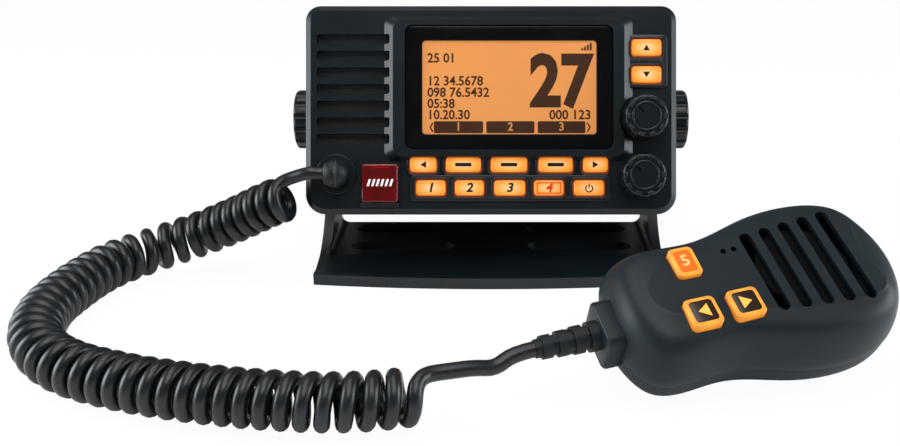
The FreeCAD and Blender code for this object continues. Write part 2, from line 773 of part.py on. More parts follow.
def make_case_fittings():
    rim_x = panel_half_x - flange_inset
    rim_z = panel_half_z - flange_inset
    band_x = chassis_half - 2
    band_z = chassis_height / 2 - 2
    rim_radius = panel_radius_high - flange_inset
    ring = plate(-rim_x, rim_x, -rim_z, rim_z, panel_back_y + seat_gap, flange_y - seat_gap, rim_radius)
    ring = ring.cut(plate(-band_x, band_x, -band_z, band_z, panel_back_y - 1, flange_y + 1, 2.0))
    screws = []
    for x, z in screw_places():
        ring = ring.cut(rod(case_screw_radius + slide_gap, (x, panel_back_y - 1, z), (x, flange_y + 1, z)))
        head_y = chassis_y + seat_gap
        shank = rod(case_screw_radius, (x, head_y, z), (x, head_y - case_screw_length - flange_wall + 4, z))
        head = rod(case_screw_head, (x, head_y, z), (x, head_y + 2.4, z))
        screws.append(join([shank, head.makeFillet(0.5, edges_at(head, "y", head_y + 2.4))]))
    save_radio("case_gasket", ring)
    save_radio("case_screws", *screws)
    board_z = -chassis_height / 2 + chassis_wall + main_board_lift
    half = chassis_half - insert_length - 3.0
    start = chassis_y + main_board_gap
    board = box(-half, half, start, start + main_board_length, board_z, board_z + board_wall)
    can_y = start + (main_board_length - shield_length) / 4
    can_z = board_z + board_wall
    can = box(-half / 2, half / 2, can_y, can_y + shield_length, can_z - overlap / 5, can_z + shield_height)
    feet = []
    for side in (-1, 1):
        x = side * (half - board_foot_inset)
        for y in (start + board_foot_inset, start + main_board_length - board_foot_inset):
            foot_low = -chassis_height / 2 + chassis_wall + seat_gap
            feet.append(rod(board_foot_radius, (x, y, foot_low), (x, y, board_z + overlap)))
    save_radio("main_board", join([board, can] + feet))
    back = chassis_back_y

    def socket_round(radius, start_y, end_y):
        return rod(radius, (antenna_x, start_y, antenna_z), (antenna_x, end_y, antenna_z))

    tip = back + antenna_length
    thread = socket_round(antenna_thread_radius, back + 2.0, tip)
    collar = socket_round(antenna_thread_radius + antenna_collar, back + seat_gap, back + 2.2)
    neck = socket_round(antenna_thread_radius - 1.5, back - chassis_wall - 4, back + 1)
    mouth = socket_round(antenna_thread_radius - 2.0, tip - antenna_recess, tip + 1)
    pin_bore = socket_round(antenna_pin_radius, back, tip)
    save_radio("antenna_socket", join([collar, thread, neck]).cut(mouth).cut(pin_bore))
    lip = taper(cable_gland_radius + 1.5, cable_gland_radius - 1.0, (cable_gland_x, back + seat_gap, 0),
                (cable_gland_x, back + 8, 0))
    plug_start = (cable_gland_x, back - chassis_wall - 2, 0)
    plug = rod(cable_gland_radius - 1.5, plug_start, (cable_gland_x, back + 1, 0))
    gland_bore = rod(cable_gland_bore, (cable_gland_x, back - 9, 0), (cable_gland_x, back + 9, 0))
    save_radio("rear_cable_gland", join([lip, plug]).cut(gland_bore))


def make_pivots():
    """Rubber washers and brass inserts in the housing's sides, and the two hand knobs."""
    washers, inserts = [], []
    ear_outer = bracket_width / 2
    for side, name in ((-1, "clamp_knob_left"), (1, "clamp_knob_right")):
        root = side * (chassis_half + seat_gap)
        washer = rod(washer_radius, (root, 0, 0), (root + side * (washer_wall - seat_gap), 0, 0))
        hole = rod(stud_radius + turn_gap, (root - side, 0, 0), (root + side * (washer_wall + 1), 0, 0))
        washers.append(washer.cut(hole))
        inner = side * (chassis_half - insert_length + seat_gap)
        insert = rod(insert_radius, (side * chassis_half, 0, 0), (inner, 0, 0))
        tapped = rod(stud_radius + turn_gap, (side * (chassis_half + 1), 0, 0), (inner - side, 0, 0))
        inserts.append(insert.cut(tapped))
        start = side * (ear_outer + turn_gap)
        end = start + side * clamp_knob_length
        knob = rod(clamp_knob_radius, (start, 0, 0), (end, 0, 0))
        knob = knob.makeFillet(1.6, edges_at(knob, "x", end))
        for index in range(clamp_flute_count):
            angle = math.radians(index * 360 / clamp_flute_count)
            y = (clamp_knob_radius + 0.4) * math.cos(angle)
            z = (clamp_knob_radius + 0.4) * math.sin(angle)
            knob = knob.cut(rod(clamp_flute_radius, (start + side * 3, y, z), (end + side, y, z)))
        knob = knob.cut(rod(clamp_knob_radius * 0.55, (end - side * 1.2, 0, 0), (end + side, 0, 0)))
        stud = rod(stud_radius, (start + side * 4, 0, 0), (side * (chassis_half - stud_engagement), 0, 0))
        save_radio(name, join([knob, stud]))
    save_radio("pivot_washers", *washers)
    save_radio("pivot_inserts", *inserts)


# Hand microphone, drawn with its length along X, its face up and its back at z = 0
def mic_outline(inset, z):
    """The closed outline at one height, drawn in from the full shape by an inset."""
    far = mic_length - inset
    near = inset
    half = [
        (near, mic_half_end * 0.55 - inset / 2),
        (near + 5.0, mic_half_end - inset),
        (34.0, mic_half_waist - inset),
        (58.0, mic_half_wide - 2.0 - inset),
        (76.0, mic_half_wide - inset),
        (mic_length - 11.0, mic_half_top + 2.5 - inset),
        (far, mic_half_top * 0.5 - inset / 2),
    ]
    points = [Vector(x, y, z) for x, y in half] + [Vector(x, -y, z) for x, y in reversed(half)]
    curve = Part.BSplineCurve()
    curve.interpolate(points, PeriodicFlag=True)
    return Part.Wire(curve.toShape())


def mic_loft(levels):
    return Part.makeLoft([mic_outline(inset, z) for inset, z in levels], True, False)


def mic_front_levels(grow=0.0):
    top = mic_thickness - grow
    return [
        (0.4 + grow, mic_parting),
        (0.0 + grow, mic_parting + 5.0),
        (1.6 + grow, mic_parting + 12.5),
        (4.6 + grow, top - 3.2),
        (8.5 + grow, top - 0.9),
        (12.5 + grow, top),
    ]


def mic_slot_at(index):
    share = index / (mic_slot_count - 1)
    return mic_slot_first + index * mic_slot_pitch, mic_slot_short + share * (mic_slot_long - mic_slot_short)


def flat_key_plate(at, side_x, side_y, z0, z1, radius):
    """A rounded slab that faces up."""
    slab = centred_plate(at[0], at[1], side_x, side_y, 0, z1 - z0, radius)
    slab.rotate(Vector(0, 0, 0), Vector(1, 0, 0), 90)
    moved = slab.mirror(Vector(0, 0, 0), Vector(0, 1, 0))
    bounds = moved.BoundBox
    moved.translate(Vector(0, at[1] - (bounds.YMin + bounds.YMax) / 2, z0 - bounds.ZMin))
    return moved


mic_keys = {
    "mic_key_left": (mic_key_left_at, mic_key_side, mic_key_side),
    "mic_key_right": (mic_key_right_at, mic_key_side, mic_key_side),
    "mic_key_call": (mic_key_call_at, 9.4, 12.4),
}


def make_mic_shells():
    top = mic_thickness
    outer = mic_loft(mic_front_levels())
    inner_levels = [(inset, z) for inset, z in mic_front_levels(mic_wall)]
    inner_levels[0] = (inner_levels[0][0], mic_parting - 0.5)
    shell = outer.cut(mic_loft(inner_levels))
    for index in range(mic_slot_count):
        x, length = mic_slot_at(index)
        centre = Vector(x, 0, top - mic_slot_depth)
        shell = shell.cut(slot_prism(centre, Vector(0, 1, 0), length, mic_slot_width, mic_slot_depth + 2))
    for at, side_x, side_y in mic_keys.values():
        gap = slide_gap * 2
        shell = shell.cut(flat_key_plate(at, side_x + gap, side_y + gap, top - 8, top + 2, 2.2))
    for x, y in mic_hole_places:
        shell = shell.cut(rod(mic_hole_radius, (x, y, top - 6), (x, y, top + 2)))
    window = ptt_window(slide_gap)
    shell = shell.cut(window)
    save_mic("mic_front_shell", shell)
    hollow_levels = [(6.5 + mic_wall, mic_wall), (3.6 + mic_wall, 4.6), (1.4 + mic_wall, 7.5)]
    hollow_levels.append((0.4 + mic_wall, mic_parting + 0.5))
    back = mic_loft(mic_back_levels[:3] + [(0.4, mic_parting - seat_gap)]).cut(mic_loft(hollow_levels))
    hanger_bore = rod(hanger_neck_radius - 1.5 + seat_gap, (hanger_x, 0, -1), (hanger_x, 0, mic_wall + 1))
    back = back.cut(hanger_bore).cut(window)
    for x, y in mic_screw_places():
        back = back.cut(rod(case_screw_radius + slide_gap, (x, y, -1), (x, y, mic_wall + 1)))
        back = back.cut(rod(case_screw_head + slide_gap, (x, y, -1), (x, y, 0.8)))
    save_mic("mic_back_shell", back)


def mic_screw_places():
    return [(22.0, -12.0), (22.0, 12.0), (88.0, -15.0), (88.0, 15.0)]


def ptt_window(gap):
    half_l = ptt_length / 2 + gap
    half_h = ptt_height / 2 + gap
    z = mic_parting + 3.0
    return box(ptt_x - half_l, ptt_x + half_l, mic_half_waist - 6, mic_half_wide + 6, z - half_h, z + half_h)


def make_mic_fittings():
    top = mic_thickness
    z = mic_parting + 3.0
    half = ptt_length / 2
    outline = [
        Vector(ptt_x - half, mic_half_waist - 4.5, z - ptt_height / 2),
        Vector(ptt_x - half, mic_half_wide - 4.0, z - ptt_height / 2),
        Vector(ptt_x + half, mic_half_wide - 0.5, z - ptt_height / 2),
        Vector(ptt_x + half, mic_half_waist - 4.5, z - ptt_height / 2),
    ]
    bulge = Vector(ptt_x, mic_half_wide - 2.0 + ptt_proud, z - ptt_height / 2)
    crown = Part.Arc(outline[1], bulge, outline[2]).toShape()
    sides = [Part.LineSegment(outline[0], outline[1]).toShape(), crown]
    sides.append(Part.LineSegment(outline[2], outline[3]).toShape())
    sides.append(Part.LineSegment(outline[3], outline[0]).toShape())
    lever = Part.Face(Part.Wire(sides)).extrude(Vector(0, 0, ptt_height))
    save_mic("mic_ptt", lever)
    for name, (at, side_x, side_y) in mic_keys.items():
        cap_top = top + mic_key_proud
        cap = flat_key_plate(at, side_x, side_y, top - 4.6, cap_top, 2.0)
        cap = cap.makeFillet(0.7, edges_at(cap, "z", cap_top))
        save_mic(name, cap)
    board_top = top - 4.6 - mic_key_travel - slide_gap
    board_low = board_top - board_wall
    board = box(mic_board_start, mic_board_end, -mic_board_half, mic_board_half, board_low, board_top)
    posts = []
    for x, y in mic_post_places:
        posts.append(rod(mic_post_radius, (x, y, mic_wall + seat_gap), (x, y, board_low + 0.2)))
    save_mic("mic_board", join([board] + posts))
    speaker_x = mic_slot_first + mic_slot_pitch * (mic_slot_count - 1) / 2
    speaker_top = top - mic_wall - slide_gap
    frame = rod(mic_speaker_radius, (speaker_x, 0, speaker_top - 2.0), (speaker_x, 0, speaker_top))
    speaker_back = speaker_top - mic_speaker_depth
    magnet = rod(mic_speaker_radius * 0.6, (speaker_x, 0, speaker_back), (speaker_x, 0, speaker_top - 1.5))
    save_mic("mic_speaker", join([frame, magnet]))
    (x, y), (end_x, _) = mic_hole_places
    x = (x + end_x) / 2
    capsule = rod(mic_capsule_radius, (x, y, board_top + seat_gap), (x, y, top - mic_wall - 1.2))
    save_mic("mic_element", capsule)
    disc = rod(hanger_radius, (hanger_x, 0, -hanger_height), (hanger_x, 0, -hanger_height + 3.5))
    disc = disc.makeFillet(1.0, edges_at(disc, "z", -hanger_height))
    neck = rod(hanger_neck_radius, (hanger_x, 0, -hanger_height + 3.0), (hanger_x, 0, -seat_gap))
    bolt = rod(hanger_neck_radius - 1.5, (hanger_x, 0, -1.0), (hanger_x, 0, mic_wall + 0.5))
    save_mic("mic_hanger_stud", join([disc, neck, bolt]))
    screws = []
    for x, y in mic_screw_places():
        head = rod(case_screw_head, (x, y, 0.1), (x, y, 0.8 - seat_gap))
        shank = rod(case_screw_radius, (x, y, 0.5), (x, y, mic_wall + 6.0))
        screws.append(join([head, shank]))
    save_mic("mic_screws", *screws)


def mic_boot_tip():
    return -block_length / 2 - 1.0 - mic_boot_length


def make_mic_cord_end():
    """The squared collar at the cord end and the segmented boot that runs out of it."""
    z = mic_axis_height
    half_y = block_width / 2
    half_z = block_height / 2
    block = box(-block_length / 2, 1.2, -half_y, half_y, z - half_z, z + half_z)
    long_edges = [edge for edge in block.Edges if abs(edge.BoundBox.XLength - block_length / 2 - 1.2) < 0.01]
    block = block.makeFillet(3.5, long_edges)
    front_clear = [(inset - slide_gap, z) for inset, z in mic_front_levels()[:3]]
    block = block.cut(mic_loft(front_clear + [(4.6, mic_thickness + 1.0)]))
    block = block.cut(mic_loft([(inset - slide_gap, z) for inset, z in mic_back_levels]))
    solids = sorted(block.Solids, key=lambda solid: solid.Volume)
    save_mic("mic_cord_block", solids[-1])
    start = -block_length / 2 - seat_gap
    tip = mic_boot_tip()
    core = taper(mic_boot_radius - 1.2, mic_boot_tip_radius - 0.9, (start, 0, z), (tip, 0, z))
    rings = []
    count = mic_boot_rings
    pitch = (start - tip) / count
    for index in range(count):
        x = start - index * pitch
        radius = mic_boot_radius + (mic_boot_tip_radius - mic_boot_radius) * index / (count - 1)
        rings.append(rod(radius, (x, 0, z), (x - pitch * 0.62, 0, z)))
    spines = []
    for index in range(count - 1):
        x = start - (index + 0.5) * pitch
        across = box(x - pitch * 0.5, x + 0.5, -1.6, 1.6, z - mic_boot_tip_radius, z + mic_boot_tip_radius)
        if index % 2:
            across.rotate(Vector(x, 0, z), Vector(1, 0, 0), 90)
        spines.append(across)
    save_mic("mic_cord_boot", join([core] + rings + spines))


# Curly cord
def coil_curve():
    """The coil's middle line: a quadratic curve led by its points."""
    poles = [Vector(*point) for point in coil_axis]
    spans = len(poles) - 2
    knots = [index / spans for index in range(spans + 1)]
    mults = [3] + [1] * (spans - 1) + [3]
    curve = Part.BSplineCurve()
    curve.buildFromPolesMultsKnots(poles, mults, knots, False, 2)
    return curve


class CoilLine:
    """The strand of the coil as a function of its own length."""

    def __init__(self):
        self.curve = coil_curve()
        self.edge = self.curve.toShape()
        self.length = self.edge.Length
        self.points = []
        self.tangents = []
        self.walk()

    def axis_frame(self, distance):
        distance = min(max(distance, 0.0), self.length)
        u = self.edge.getParameterByLength(distance)
        centre = self.edge.valueAt(u)
        ahead = self.edge.tangentAt(u).normalize()
        up = Vector(0, 0, 1) - ahead * ahead.z
        up.normalize()
        return centre, ahead, up, ahead.cross(up)

    def bend(self, distance):
        """How sharply the middle line turns: one over its radius."""
        step = 4.0
        before = self.axis_frame(distance - step)[1]
        after = self.axis_frame(distance + step)[1]
        return before.getAngle(after) / (2 * step)

    def pitch(self, distance):
        return (cord_diameter + coil_gap) / (1 - coil_radius * self.bend(distance))

    def strand(self, distance, angle):
        centre, ahead, up, side = self.axis_frame(distance)
        return centre + (up * math.cos(angle) - side * math.sin(angle)) * coil_radius

    def walk(self):
        """Steps along the strand: out of the lead, round the turns and out to the other lead."""
        step = coil_step
        distance, angle, travelled = 0.0, 0.0, 0.0
        full = math.atan2(2 * math.pi * coil_radius, cord_diameter + coil_gap)
        exit_run = coil_exit_radius * math.sin(full)
        track = [(0.0, 0.0, 0.0)]
        while distance < self.length:
            lean_in = math.asin(min(1.0, distance / coil_exit_radius)) if distance < exit_run else full
            left = self.length - distance
            lean_out = math.asin(min(1.0, left / coil_exit_radius)) if left < exit_run else full
            wound = math.atan2(2 * math.pi * coil_radius, self.pitch(distance))
            lean = min(wound, max(lean_in, 0.02), max(lean_out, 0.02))
            distance += math.cos(lean) * step
            angle += math.sin(lean) * step / coil_radius
            travelled += step
            track.append((travelled, distance, angle))
        self.track = track
        self.angle = angle

    def quarter_points(self):
        """Points about a quarter turn apart, with the directions of the strand there."""
        # The whole count of steps ends at the top of the last turn.
        turns = round(self.angle / (2 * math.pi))
        stretch = turns * 2 * math.pi / self.angle
        total = self.track[-1][0]
        count = round(total / (coil_radius * math.pi / 2))
        points, directions = [], []
        for index in range(count + 1):
            target = total * index / count
            low = min(int(target / coil_step), len(self.track) - 2)
            share = (target - self.track[low][0]) / coil_step
            here = [a + (b - a) * share for a, b in zip(self.track[low], self.track[low + 1])]
            scale = self.length / self.track[-1][1]
            point = self.strand(here[1] * scale, here[2] * stretch)
            step = 0.2
            slope = [(b - a) / coil_step * step for a, b in zip(self.track[low], self.track[low + 1])]
            before = self.strand((here[1] - slope[1]) * scale, (here[2] - slope[2]) * stretch)
            after = self.strand((here[1] + slope[1]) * scale, (here[2] + slope[2]) * stretch)
            points.append(point)
            directions.append((after - before).normalize())
        ends = (self.axis_frame(0.0)[1], self.axis_frame(self.length)[1])
        directions[0], directions[-1] = ends
        return points, directions, turns


def arc_from(start, direction, end):
    """The arc that leaves a point in a direction and passes through another, and its radius."""
    chord = end - start
    length = chord.Length
    angle = direction.getAngle(chord)
    if angle < 0.001:
        return Part.LineSegment(start, end).toShape(), 1e9
    across = direction - chord * (direction.dot(chord) / length ** 2)
    across.normalize()
    middle = start + chord * 0.5 + across * (length / 2 * math.tan(angle / 2))
    return Part.Arc(start, middle, end).toShape(), length / 2 / math.sin(angle)


def biarc(start, start_way, end, end_way):
    """Two arcs that join two points along two directions."""
    chord = end - start
    ways = start_way + end_way
    lean = 2 * (1 - start_way.dot(end_way))
    along = chord.dot(ways)
    if lean < 1e-6:
        reach = chord.dot(chord) / (4 * chord.dot(end_way))
    else:
        reach = (-along + math.sqrt(along ** 2 + lean * chord.dot(chord))) / lean
    middle = (start + end + (start_way - end_way) * reach) * 0.5
    first, radius_a = arc_from(start, start_way, middle)
    second, radius_b = arc_from(end, end_way * -1, middle)
    return [first, second], min(radius_a, radius_b)


def tube(path, start, direction):
    """A round tube along a path of edges."""
    ring = Part.Wire(Part.makeCircle(cord_diameter / 2, start, direction))
    return Part.Wire(path).makePipeShell([ring], True, False)


def coil_solid():
    line = CoilLine()
    points, directions, turns = line.quarter_points()
    first = points[0] - directions[0] * cord_diameter
    last = points[-1] + directions[-1] * cord_diameter
    path = [Part.LineSegment(first, points[0]).toShape()]
    tightest = 1e9
    for index in range(len(points) - 1):
        edges, radius = biarc(points[index], directions[index], points[index + 1], directions[index + 1])
        path += edges
        tightest = min(tightest, radius)
    path.append(Part.LineSegment(points[-1], last).toShape())
    length = sum(edge.Length for edge in path)
    solid = tube(path, first, directions[0])
    print(f"coil: {turns} turns, strand {length:.0f} mm, tightest arc {tightest:.2f} mm")
    expected = math.pi * cord_diameter ** 2 / 4 * length
    print(f"coil volume over section times length: {solid.Volume / expected:.4f}")
    report_gap(path)
    return solid, first, directions[0], last, directions[-1]


def report_gap(path):
    """Prints the least clear gap from the strand to itself, measured on points."""
    samples = []
    travelled = 0.0
    for edge in path:
        count = max(2, int(edge.Length / 0.8))
        for index in range(count):
            u = edge.getParameterByLength(edge.Length * index / count)
            samples.append((travelled + edge.Length * index / count, edge.valueAt(u)))
        travelled += edge.Length
    cell = 9.0
    grid = {}
    for index, (along, point) in enumerate(samples):
        grid.setdefault((int(point.x // cell), int(point.y // cell), int(point.z // cell)), []).append(index)
    least = 1e9
    apart = math.pi * coil_radius
    for (cx, cy, cz), members in grid.items():
        near = []
        for dx in (-1, 0, 1):
            for dy in (-1, 0, 1):
                for dz in (-1, 0, 1):
                    near += grid.get((cx + dx, cy + dy, cz + dz), [])
        for a in members:
            for b in near:
                if b > a and samples[b][0] - samples[a][0] > apart:
                    least = min(least, (samples[b][1] - samples[a][1]).Length)
    print(f"coil: least gap to itself {least - cord_diameter:.2f} mm")


def routed_tube(name, points):
    """A tube of straight runs joined by tangent arcs, each as large as its runs allow."""
    path = []
    here = points[0]
    radii = []
    for index in range(1, len(points) - 1):
        corner = points[index]
        before = corner - points[index - 1]
        after = points[index + 1] - corner
        turn = before.getAngle(after)
        radius = 0.45 * min(before.Length, after.Length) / math.tan(turn / 2)
        radii.append(round(radius, 1))
        back = radius * math.tan(turn / 2)
        way_in, way_out = Vector(before).normalize(), Vector(after).normalize()
        start = corner - way_in * back
        end = corner + way_out * back
        path.append(Part.LineSegment(here, start).toShape())
        path.append(arc_from(start, way_in, end)[0])
        here = end
    path.append(Part.LineSegment(here, points[-1]).toShape())
    length = sum(edge.Length for edge in path)
    solid = tube(path, points[0], points[1] - points[0])
    share = solid.Volume / (math.pi * cord_diameter ** 2 / 4 * length)
    print(f"{name}: {length:.1f} mm, radii {radii}, volume over section times length {share:.4f}")
    save(name, solid)


def make_cord():
    coil, first, first_way, last, last_way = coil_solid()
    save("cord_coil", coil)
    boot_axis_y = face_y - boot_reach
    exit_radio = radio_place.multVec(Vector(boot_tip_x, boot_axis_y, outlet_z))
    print("radio lead from", exit_radio, "to", first, "along", first_way)
    leave = exit_radio - Vector(lead_short, 0, 0)
    routed_tube("cord_lead_radio", [exit_radio, leave, first - first_way * lead_short, first])
    mic_tip = mic_place.multVec(Vector(mic_boot_tip(), 0, mic_axis_height))
    mic_way = mic_turn.multVec(Vector(1, 0, 0))
    print("mic lead from", last, "along", last_way, "to", mic_tip, "along", mic_way)
    bend_a = last + last_way * lead_straight
    bend_b = mic_tip - mic_way * lead_straight
    middle = (bend_a + bend_b) * 0.5 + lead_sag
    routed_tube("cord_lead_mic", [last, bend_a, middle, bend_b, mic_tip])


os.makedirs("parts", exist_ok=True)
save("bracket", bracket())
make_face()
make_speaker()
make_knobs()
make_distress()
make_outlet()
make_chassis()
make_case_fittings()
make_pivots()
make_mic_shells()
make_mic_fittings()
make_mic_cord_end()
make_cord()
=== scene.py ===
"""Looks for a fixed-mount marine radio on a gimbal bracket, with its hand microphone and curly cord."""

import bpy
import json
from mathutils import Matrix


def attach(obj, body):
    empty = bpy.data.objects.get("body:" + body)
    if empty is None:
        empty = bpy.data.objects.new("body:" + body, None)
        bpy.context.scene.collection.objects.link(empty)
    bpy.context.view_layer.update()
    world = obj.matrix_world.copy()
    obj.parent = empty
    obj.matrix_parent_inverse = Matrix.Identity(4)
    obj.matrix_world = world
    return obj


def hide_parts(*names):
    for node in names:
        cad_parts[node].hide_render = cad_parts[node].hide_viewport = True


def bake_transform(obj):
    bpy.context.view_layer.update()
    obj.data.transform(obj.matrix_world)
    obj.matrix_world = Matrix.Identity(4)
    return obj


bl_info = {
    "name": "Marine radio looks",
    "version": (1, 0, 0),
    "blender": (4, 5, 0),
    "location": "View3D > Sidebar > Radio",
    "description": "Dresses the marine radio's packed parts with finishes, display, legends and cord",
    "category": "Object",
}

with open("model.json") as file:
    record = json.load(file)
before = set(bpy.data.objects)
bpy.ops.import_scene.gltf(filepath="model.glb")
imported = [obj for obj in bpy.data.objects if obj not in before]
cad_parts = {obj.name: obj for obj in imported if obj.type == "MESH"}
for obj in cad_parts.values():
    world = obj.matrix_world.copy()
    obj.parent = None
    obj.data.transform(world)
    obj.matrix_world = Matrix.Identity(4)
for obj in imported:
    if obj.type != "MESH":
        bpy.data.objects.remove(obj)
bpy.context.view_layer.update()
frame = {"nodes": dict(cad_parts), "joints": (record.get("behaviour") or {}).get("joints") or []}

import json
import math

import bpy
from mathutils import Matrix, Vector

MM = 0.001
TILT_JOINT = next(joint for joint in frame["joints"] if joint["name"] == "tilt")

RADIO_TILT = math.radians(-20.0)
RADIO = Matrix.Translation(TILT_JOINT["pos_m"]) @ Matrix.Rotation(RADIO_TILT, 4, "X")
RADIO_FACE = RADIO @ Matrix.Rotation(math.radians(90), 4, "X")

MIC_ORIGIN = Vector((41.2, -133.8, 10.2)) * MM
MIC_YAW = math.radians(17.3)
MIC_PITCH = math.radians(-4.8)
MIC_ROLL = math.radians(29.4)
MIC_LEAN = Matrix.Rotation(MIC_PITCH, 4, "Y") @ Matrix.Rotation(MIC_ROLL, 4, "X")
MIC_TURN = Matrix.Rotation(MIC_YAW, 4, "Z") @ MIC_LEAN
MIC = Matrix.Translation(MIC_ORIGIN) @ MIC_TURN

# The curly cord's middle line, in metres
COIL_AXIS = [
    (-0.0812, -0.0436, 0.0422),
    (-0.0925, -0.0403, 0.0380),
    (-0.1080, -0.0335, 0.0285),
    (-0.1290, -0.0275, 0.0180),
    (-0.1510, -0.0320, 0.0118),
    (-0.1655, -0.0490, 0.0113),
    (-0.1720, -0.0730, 0.0113),
    (-0.1750, -0.0970, 0.0113),
    (-0.1690, -0.1230, 0.0113),
    (-0.1520, -0.1430, 0.0113),
    (-0.1230, -0.1560, 0.0113),
    (-0.0920, -0.1640, 0.0113),
    (-0.0620, -0.1685, 0.0113),
    (-0.0370, -0.1680, 0.0113),
    (-0.0185, -0.1622, 0.0113),
]
CORD_DIAMETER = 0.0056
COIL_DIAMETER = 0.0208
COIL_GAP = 0.00075
COIL_EXIT_RADIUS = 0.0082
TURN_POINTS = 16

# Where the cord leaves its two boots, in millimetres: across and up the radio, and up the microphone
BOOT_EXIT = (-50.3, -27.7)
MIC_EXIT_HEIGHT = 16.0

# How far the panel's plain face stands out from the pivot, in millimetres
PANEL_FACE = 44.0

# Backlit rubber at a key's rim and in its middle, and the black print on it
AMBER = (0.74, 0.24, 0.022)
AMBER_PALE = (0.70, 0.42, 0.2)
INK = (0.012, 0.009, 0.007)

# Camera, as fitted to the photograph
CAMERA_PLACE = (0, -0.4866, 0.19)
CAMERA_PITCH = math.radians(70)
CAMERA_SENSOR = 36.0
CAMERA_LENS = 43.72
CAMERA_SHIFT = -0.0456

# Soft boxes: place, aim, size, power and colour
LAMPS = {
    "overhead": ((-0.1, -0.1, 0.95), (0, -0.05, 0.03), (0.9, 0.6), 5.0, (1, 1, 1)),
    "left_box": ((-0.95, -0.12, 0.3), (0, -0.05, 0.05), (0.6, 0.6), 11.0, (0.88, 0.95, 1.0)),
    "right_box": ((0.95, -0.15, 0.3), (0, -0.05, 0.05), (0.6, 0.6), 9.0, (0.88, 0.95, 1.0)),
    "front_fill": ((0.1, -0.75, 1.15), (0, -0.05, 0.05), (0.8, 0.4), 6.0, (1, 1, 1)),
}
WORLD_LIGHT = 0.2
FLOOR_WHITE = 0.96


class RadioSizes(bpy.types.PropertyGroup):
    """Sizes a user would change."""
    legend_rise: bpy.props.FloatProperty(
        name="Legend rise", description="How far printed legends stand off a key",
        default=0.00006, unit="LENGTH")
    rim_width: bpy.props.FloatProperty(
        name="Key rim width", description="Width of the raised rim round each key",
        default=0.0008, unit="LENGTH")
    display_drop: bpy.props.FloatProperty(
        name="Display drop", description="How far the lit display lies below the window's face",
        default=0.0009, unit="LENGTH")


class RadioColours(bpy.types.PropertyGroup):
    """Colours a user would change."""
    casing: bpy.props.FloatVectorProperty(
        name="Casing", description="Moulded plastic of the front panel",
        default=(0.0038, 0.0072, 0.0095), subtype="COLOR", size=3)
    microphone: bpy.props.FloatVectorProperty(
        name="Microphone", description="Textured plastic of the hand microphone",
        default=(0.0068, 0.0122, 0.0155), subtype="COLOR", size=3)
    cord: bpy.props.FloatVectorProperty(
        name="Cord", description="Jacket of the curly cord",
        default=(0.0032, 0.0056, 0.0072), subtype="COLOR", size=3)
    display: bpy.props.FloatVectorProperty(
        name="Display", description="Backlit display",
        default=(0.475, 0.185, 0.053), subtype="COLOR", size=3)


# Node materials
def new_material(name):
    material = bpy.data.materials.new(name)
    material.use_nodes = True
    tree = material.node_tree
    shader = tree.nodes["Principled BSDF"]
    return material, tree, shader


def node(tree, kind, **values):
    made = tree.nodes.new(kind)
    for key, value in values.items():
        setattr(made, key, value)
    return made


def object_noise(tree, scale, detail):
    """Noise on object coordinates, in grains per metre."""
    place = node(tree, "ShaderNodeTexCoord")
    noise = node(tree, "ShaderNodeTexNoise")
    noise.inputs["Scale"].default_value = scale
    noise.inputs["Detail"].default_value = detail
    noise.inputs["Roughness"].default_value = 0.55
    tree.links.new(place.outputs["Object"], noise.inputs["Vector"])
    return noise


def ramp(tree, source, stops):
    made = node(tree, "ShaderNodeValToRGB")
    elements = made.color_ramp.elements
    while len(elements) < len(stops):
        elements.new(0.5)
    for element, (position, colour) in zip(elements, stops):
        element.position = position
        element.color = (*colour, 1.0) if len(colour) == 3 else colour
    tree.links.new(source, made.inputs["Fac"])
    return made


def shade(colour, factor):
    return tuple(min(1.0, c * factor) for c in colour)


def roughness_from(tree, shader, source, low, high):
    span = node(tree, "ShaderNodeMapRange")
    span.inputs["To Min"].default_value = low
    span.inputs["To Max"].default_value = high
    tree.links.new(source, span.inputs["Value"])
    tree.links.new(span.outputs["Result"], shader.inputs["Roughness"])


def bump_from(tree, shader, source, strength, distance):
    bump = node(tree, "ShaderNodeBump")
    bump.inputs["Strength"].default_value = strength
    bump.inputs["Distance"].default_value = distance
    tree.links.new(source, bump.inputs["Height"])
    tree.links.new(bump.outputs["Normal"], shader.inputs["Normal"])


def moulded(name, colour, rough=(0.32, 0.45), grain=2600.0, bump=0.25, vary=0.25, specular=0.5):
    """Moulded plastic or rubber: a fine grain, a slow change of colour and a satin sheen."""
    material, tree, shader = new_material(name)
    slow = object_noise(tree, 38.0, 3.0)
    tint = ramp(tree, slow.outputs["Fac"], [(0.3, shade(colour, 1 - vary)), (0.7, shade(colour, 1 + vary))])
    tree.links.new(tint.outputs["Color"], shader.inputs["Base Color"])
    fine = object_noise(tree, grain, 2.0)
    roughness_from(tree, shader, slow.outputs["Fac"], *rough)
    bump_from(tree, shader, fine.outputs["Fac"], bump, 0.00006)
    shader.inputs["Specular IOR Level"].default_value = specular
    return material


def metal(name, colour, rough=(0.2, 0.35)):
    """Plated or turned metal with a fine grain."""
    material, tree, shader = new_material(name)
    lines = object_noise(tree, 900.0, 3.0)
    tint = ramp(tree, lines.outputs["Fac"], [(0.3, shade(colour, 0.85)), (0.7, colour)])
    tree.links.new(tint.outputs["Color"], shader.inputs["Base Color"])
    shader.inputs["Metallic"].default_value = 1.0
    roughness_from(tree, shader, lines.outputs["Fac"], *rough)
    bump_from(tree, shader, lines.outputs["Fac"], 0.12, 0.00003)
    return material


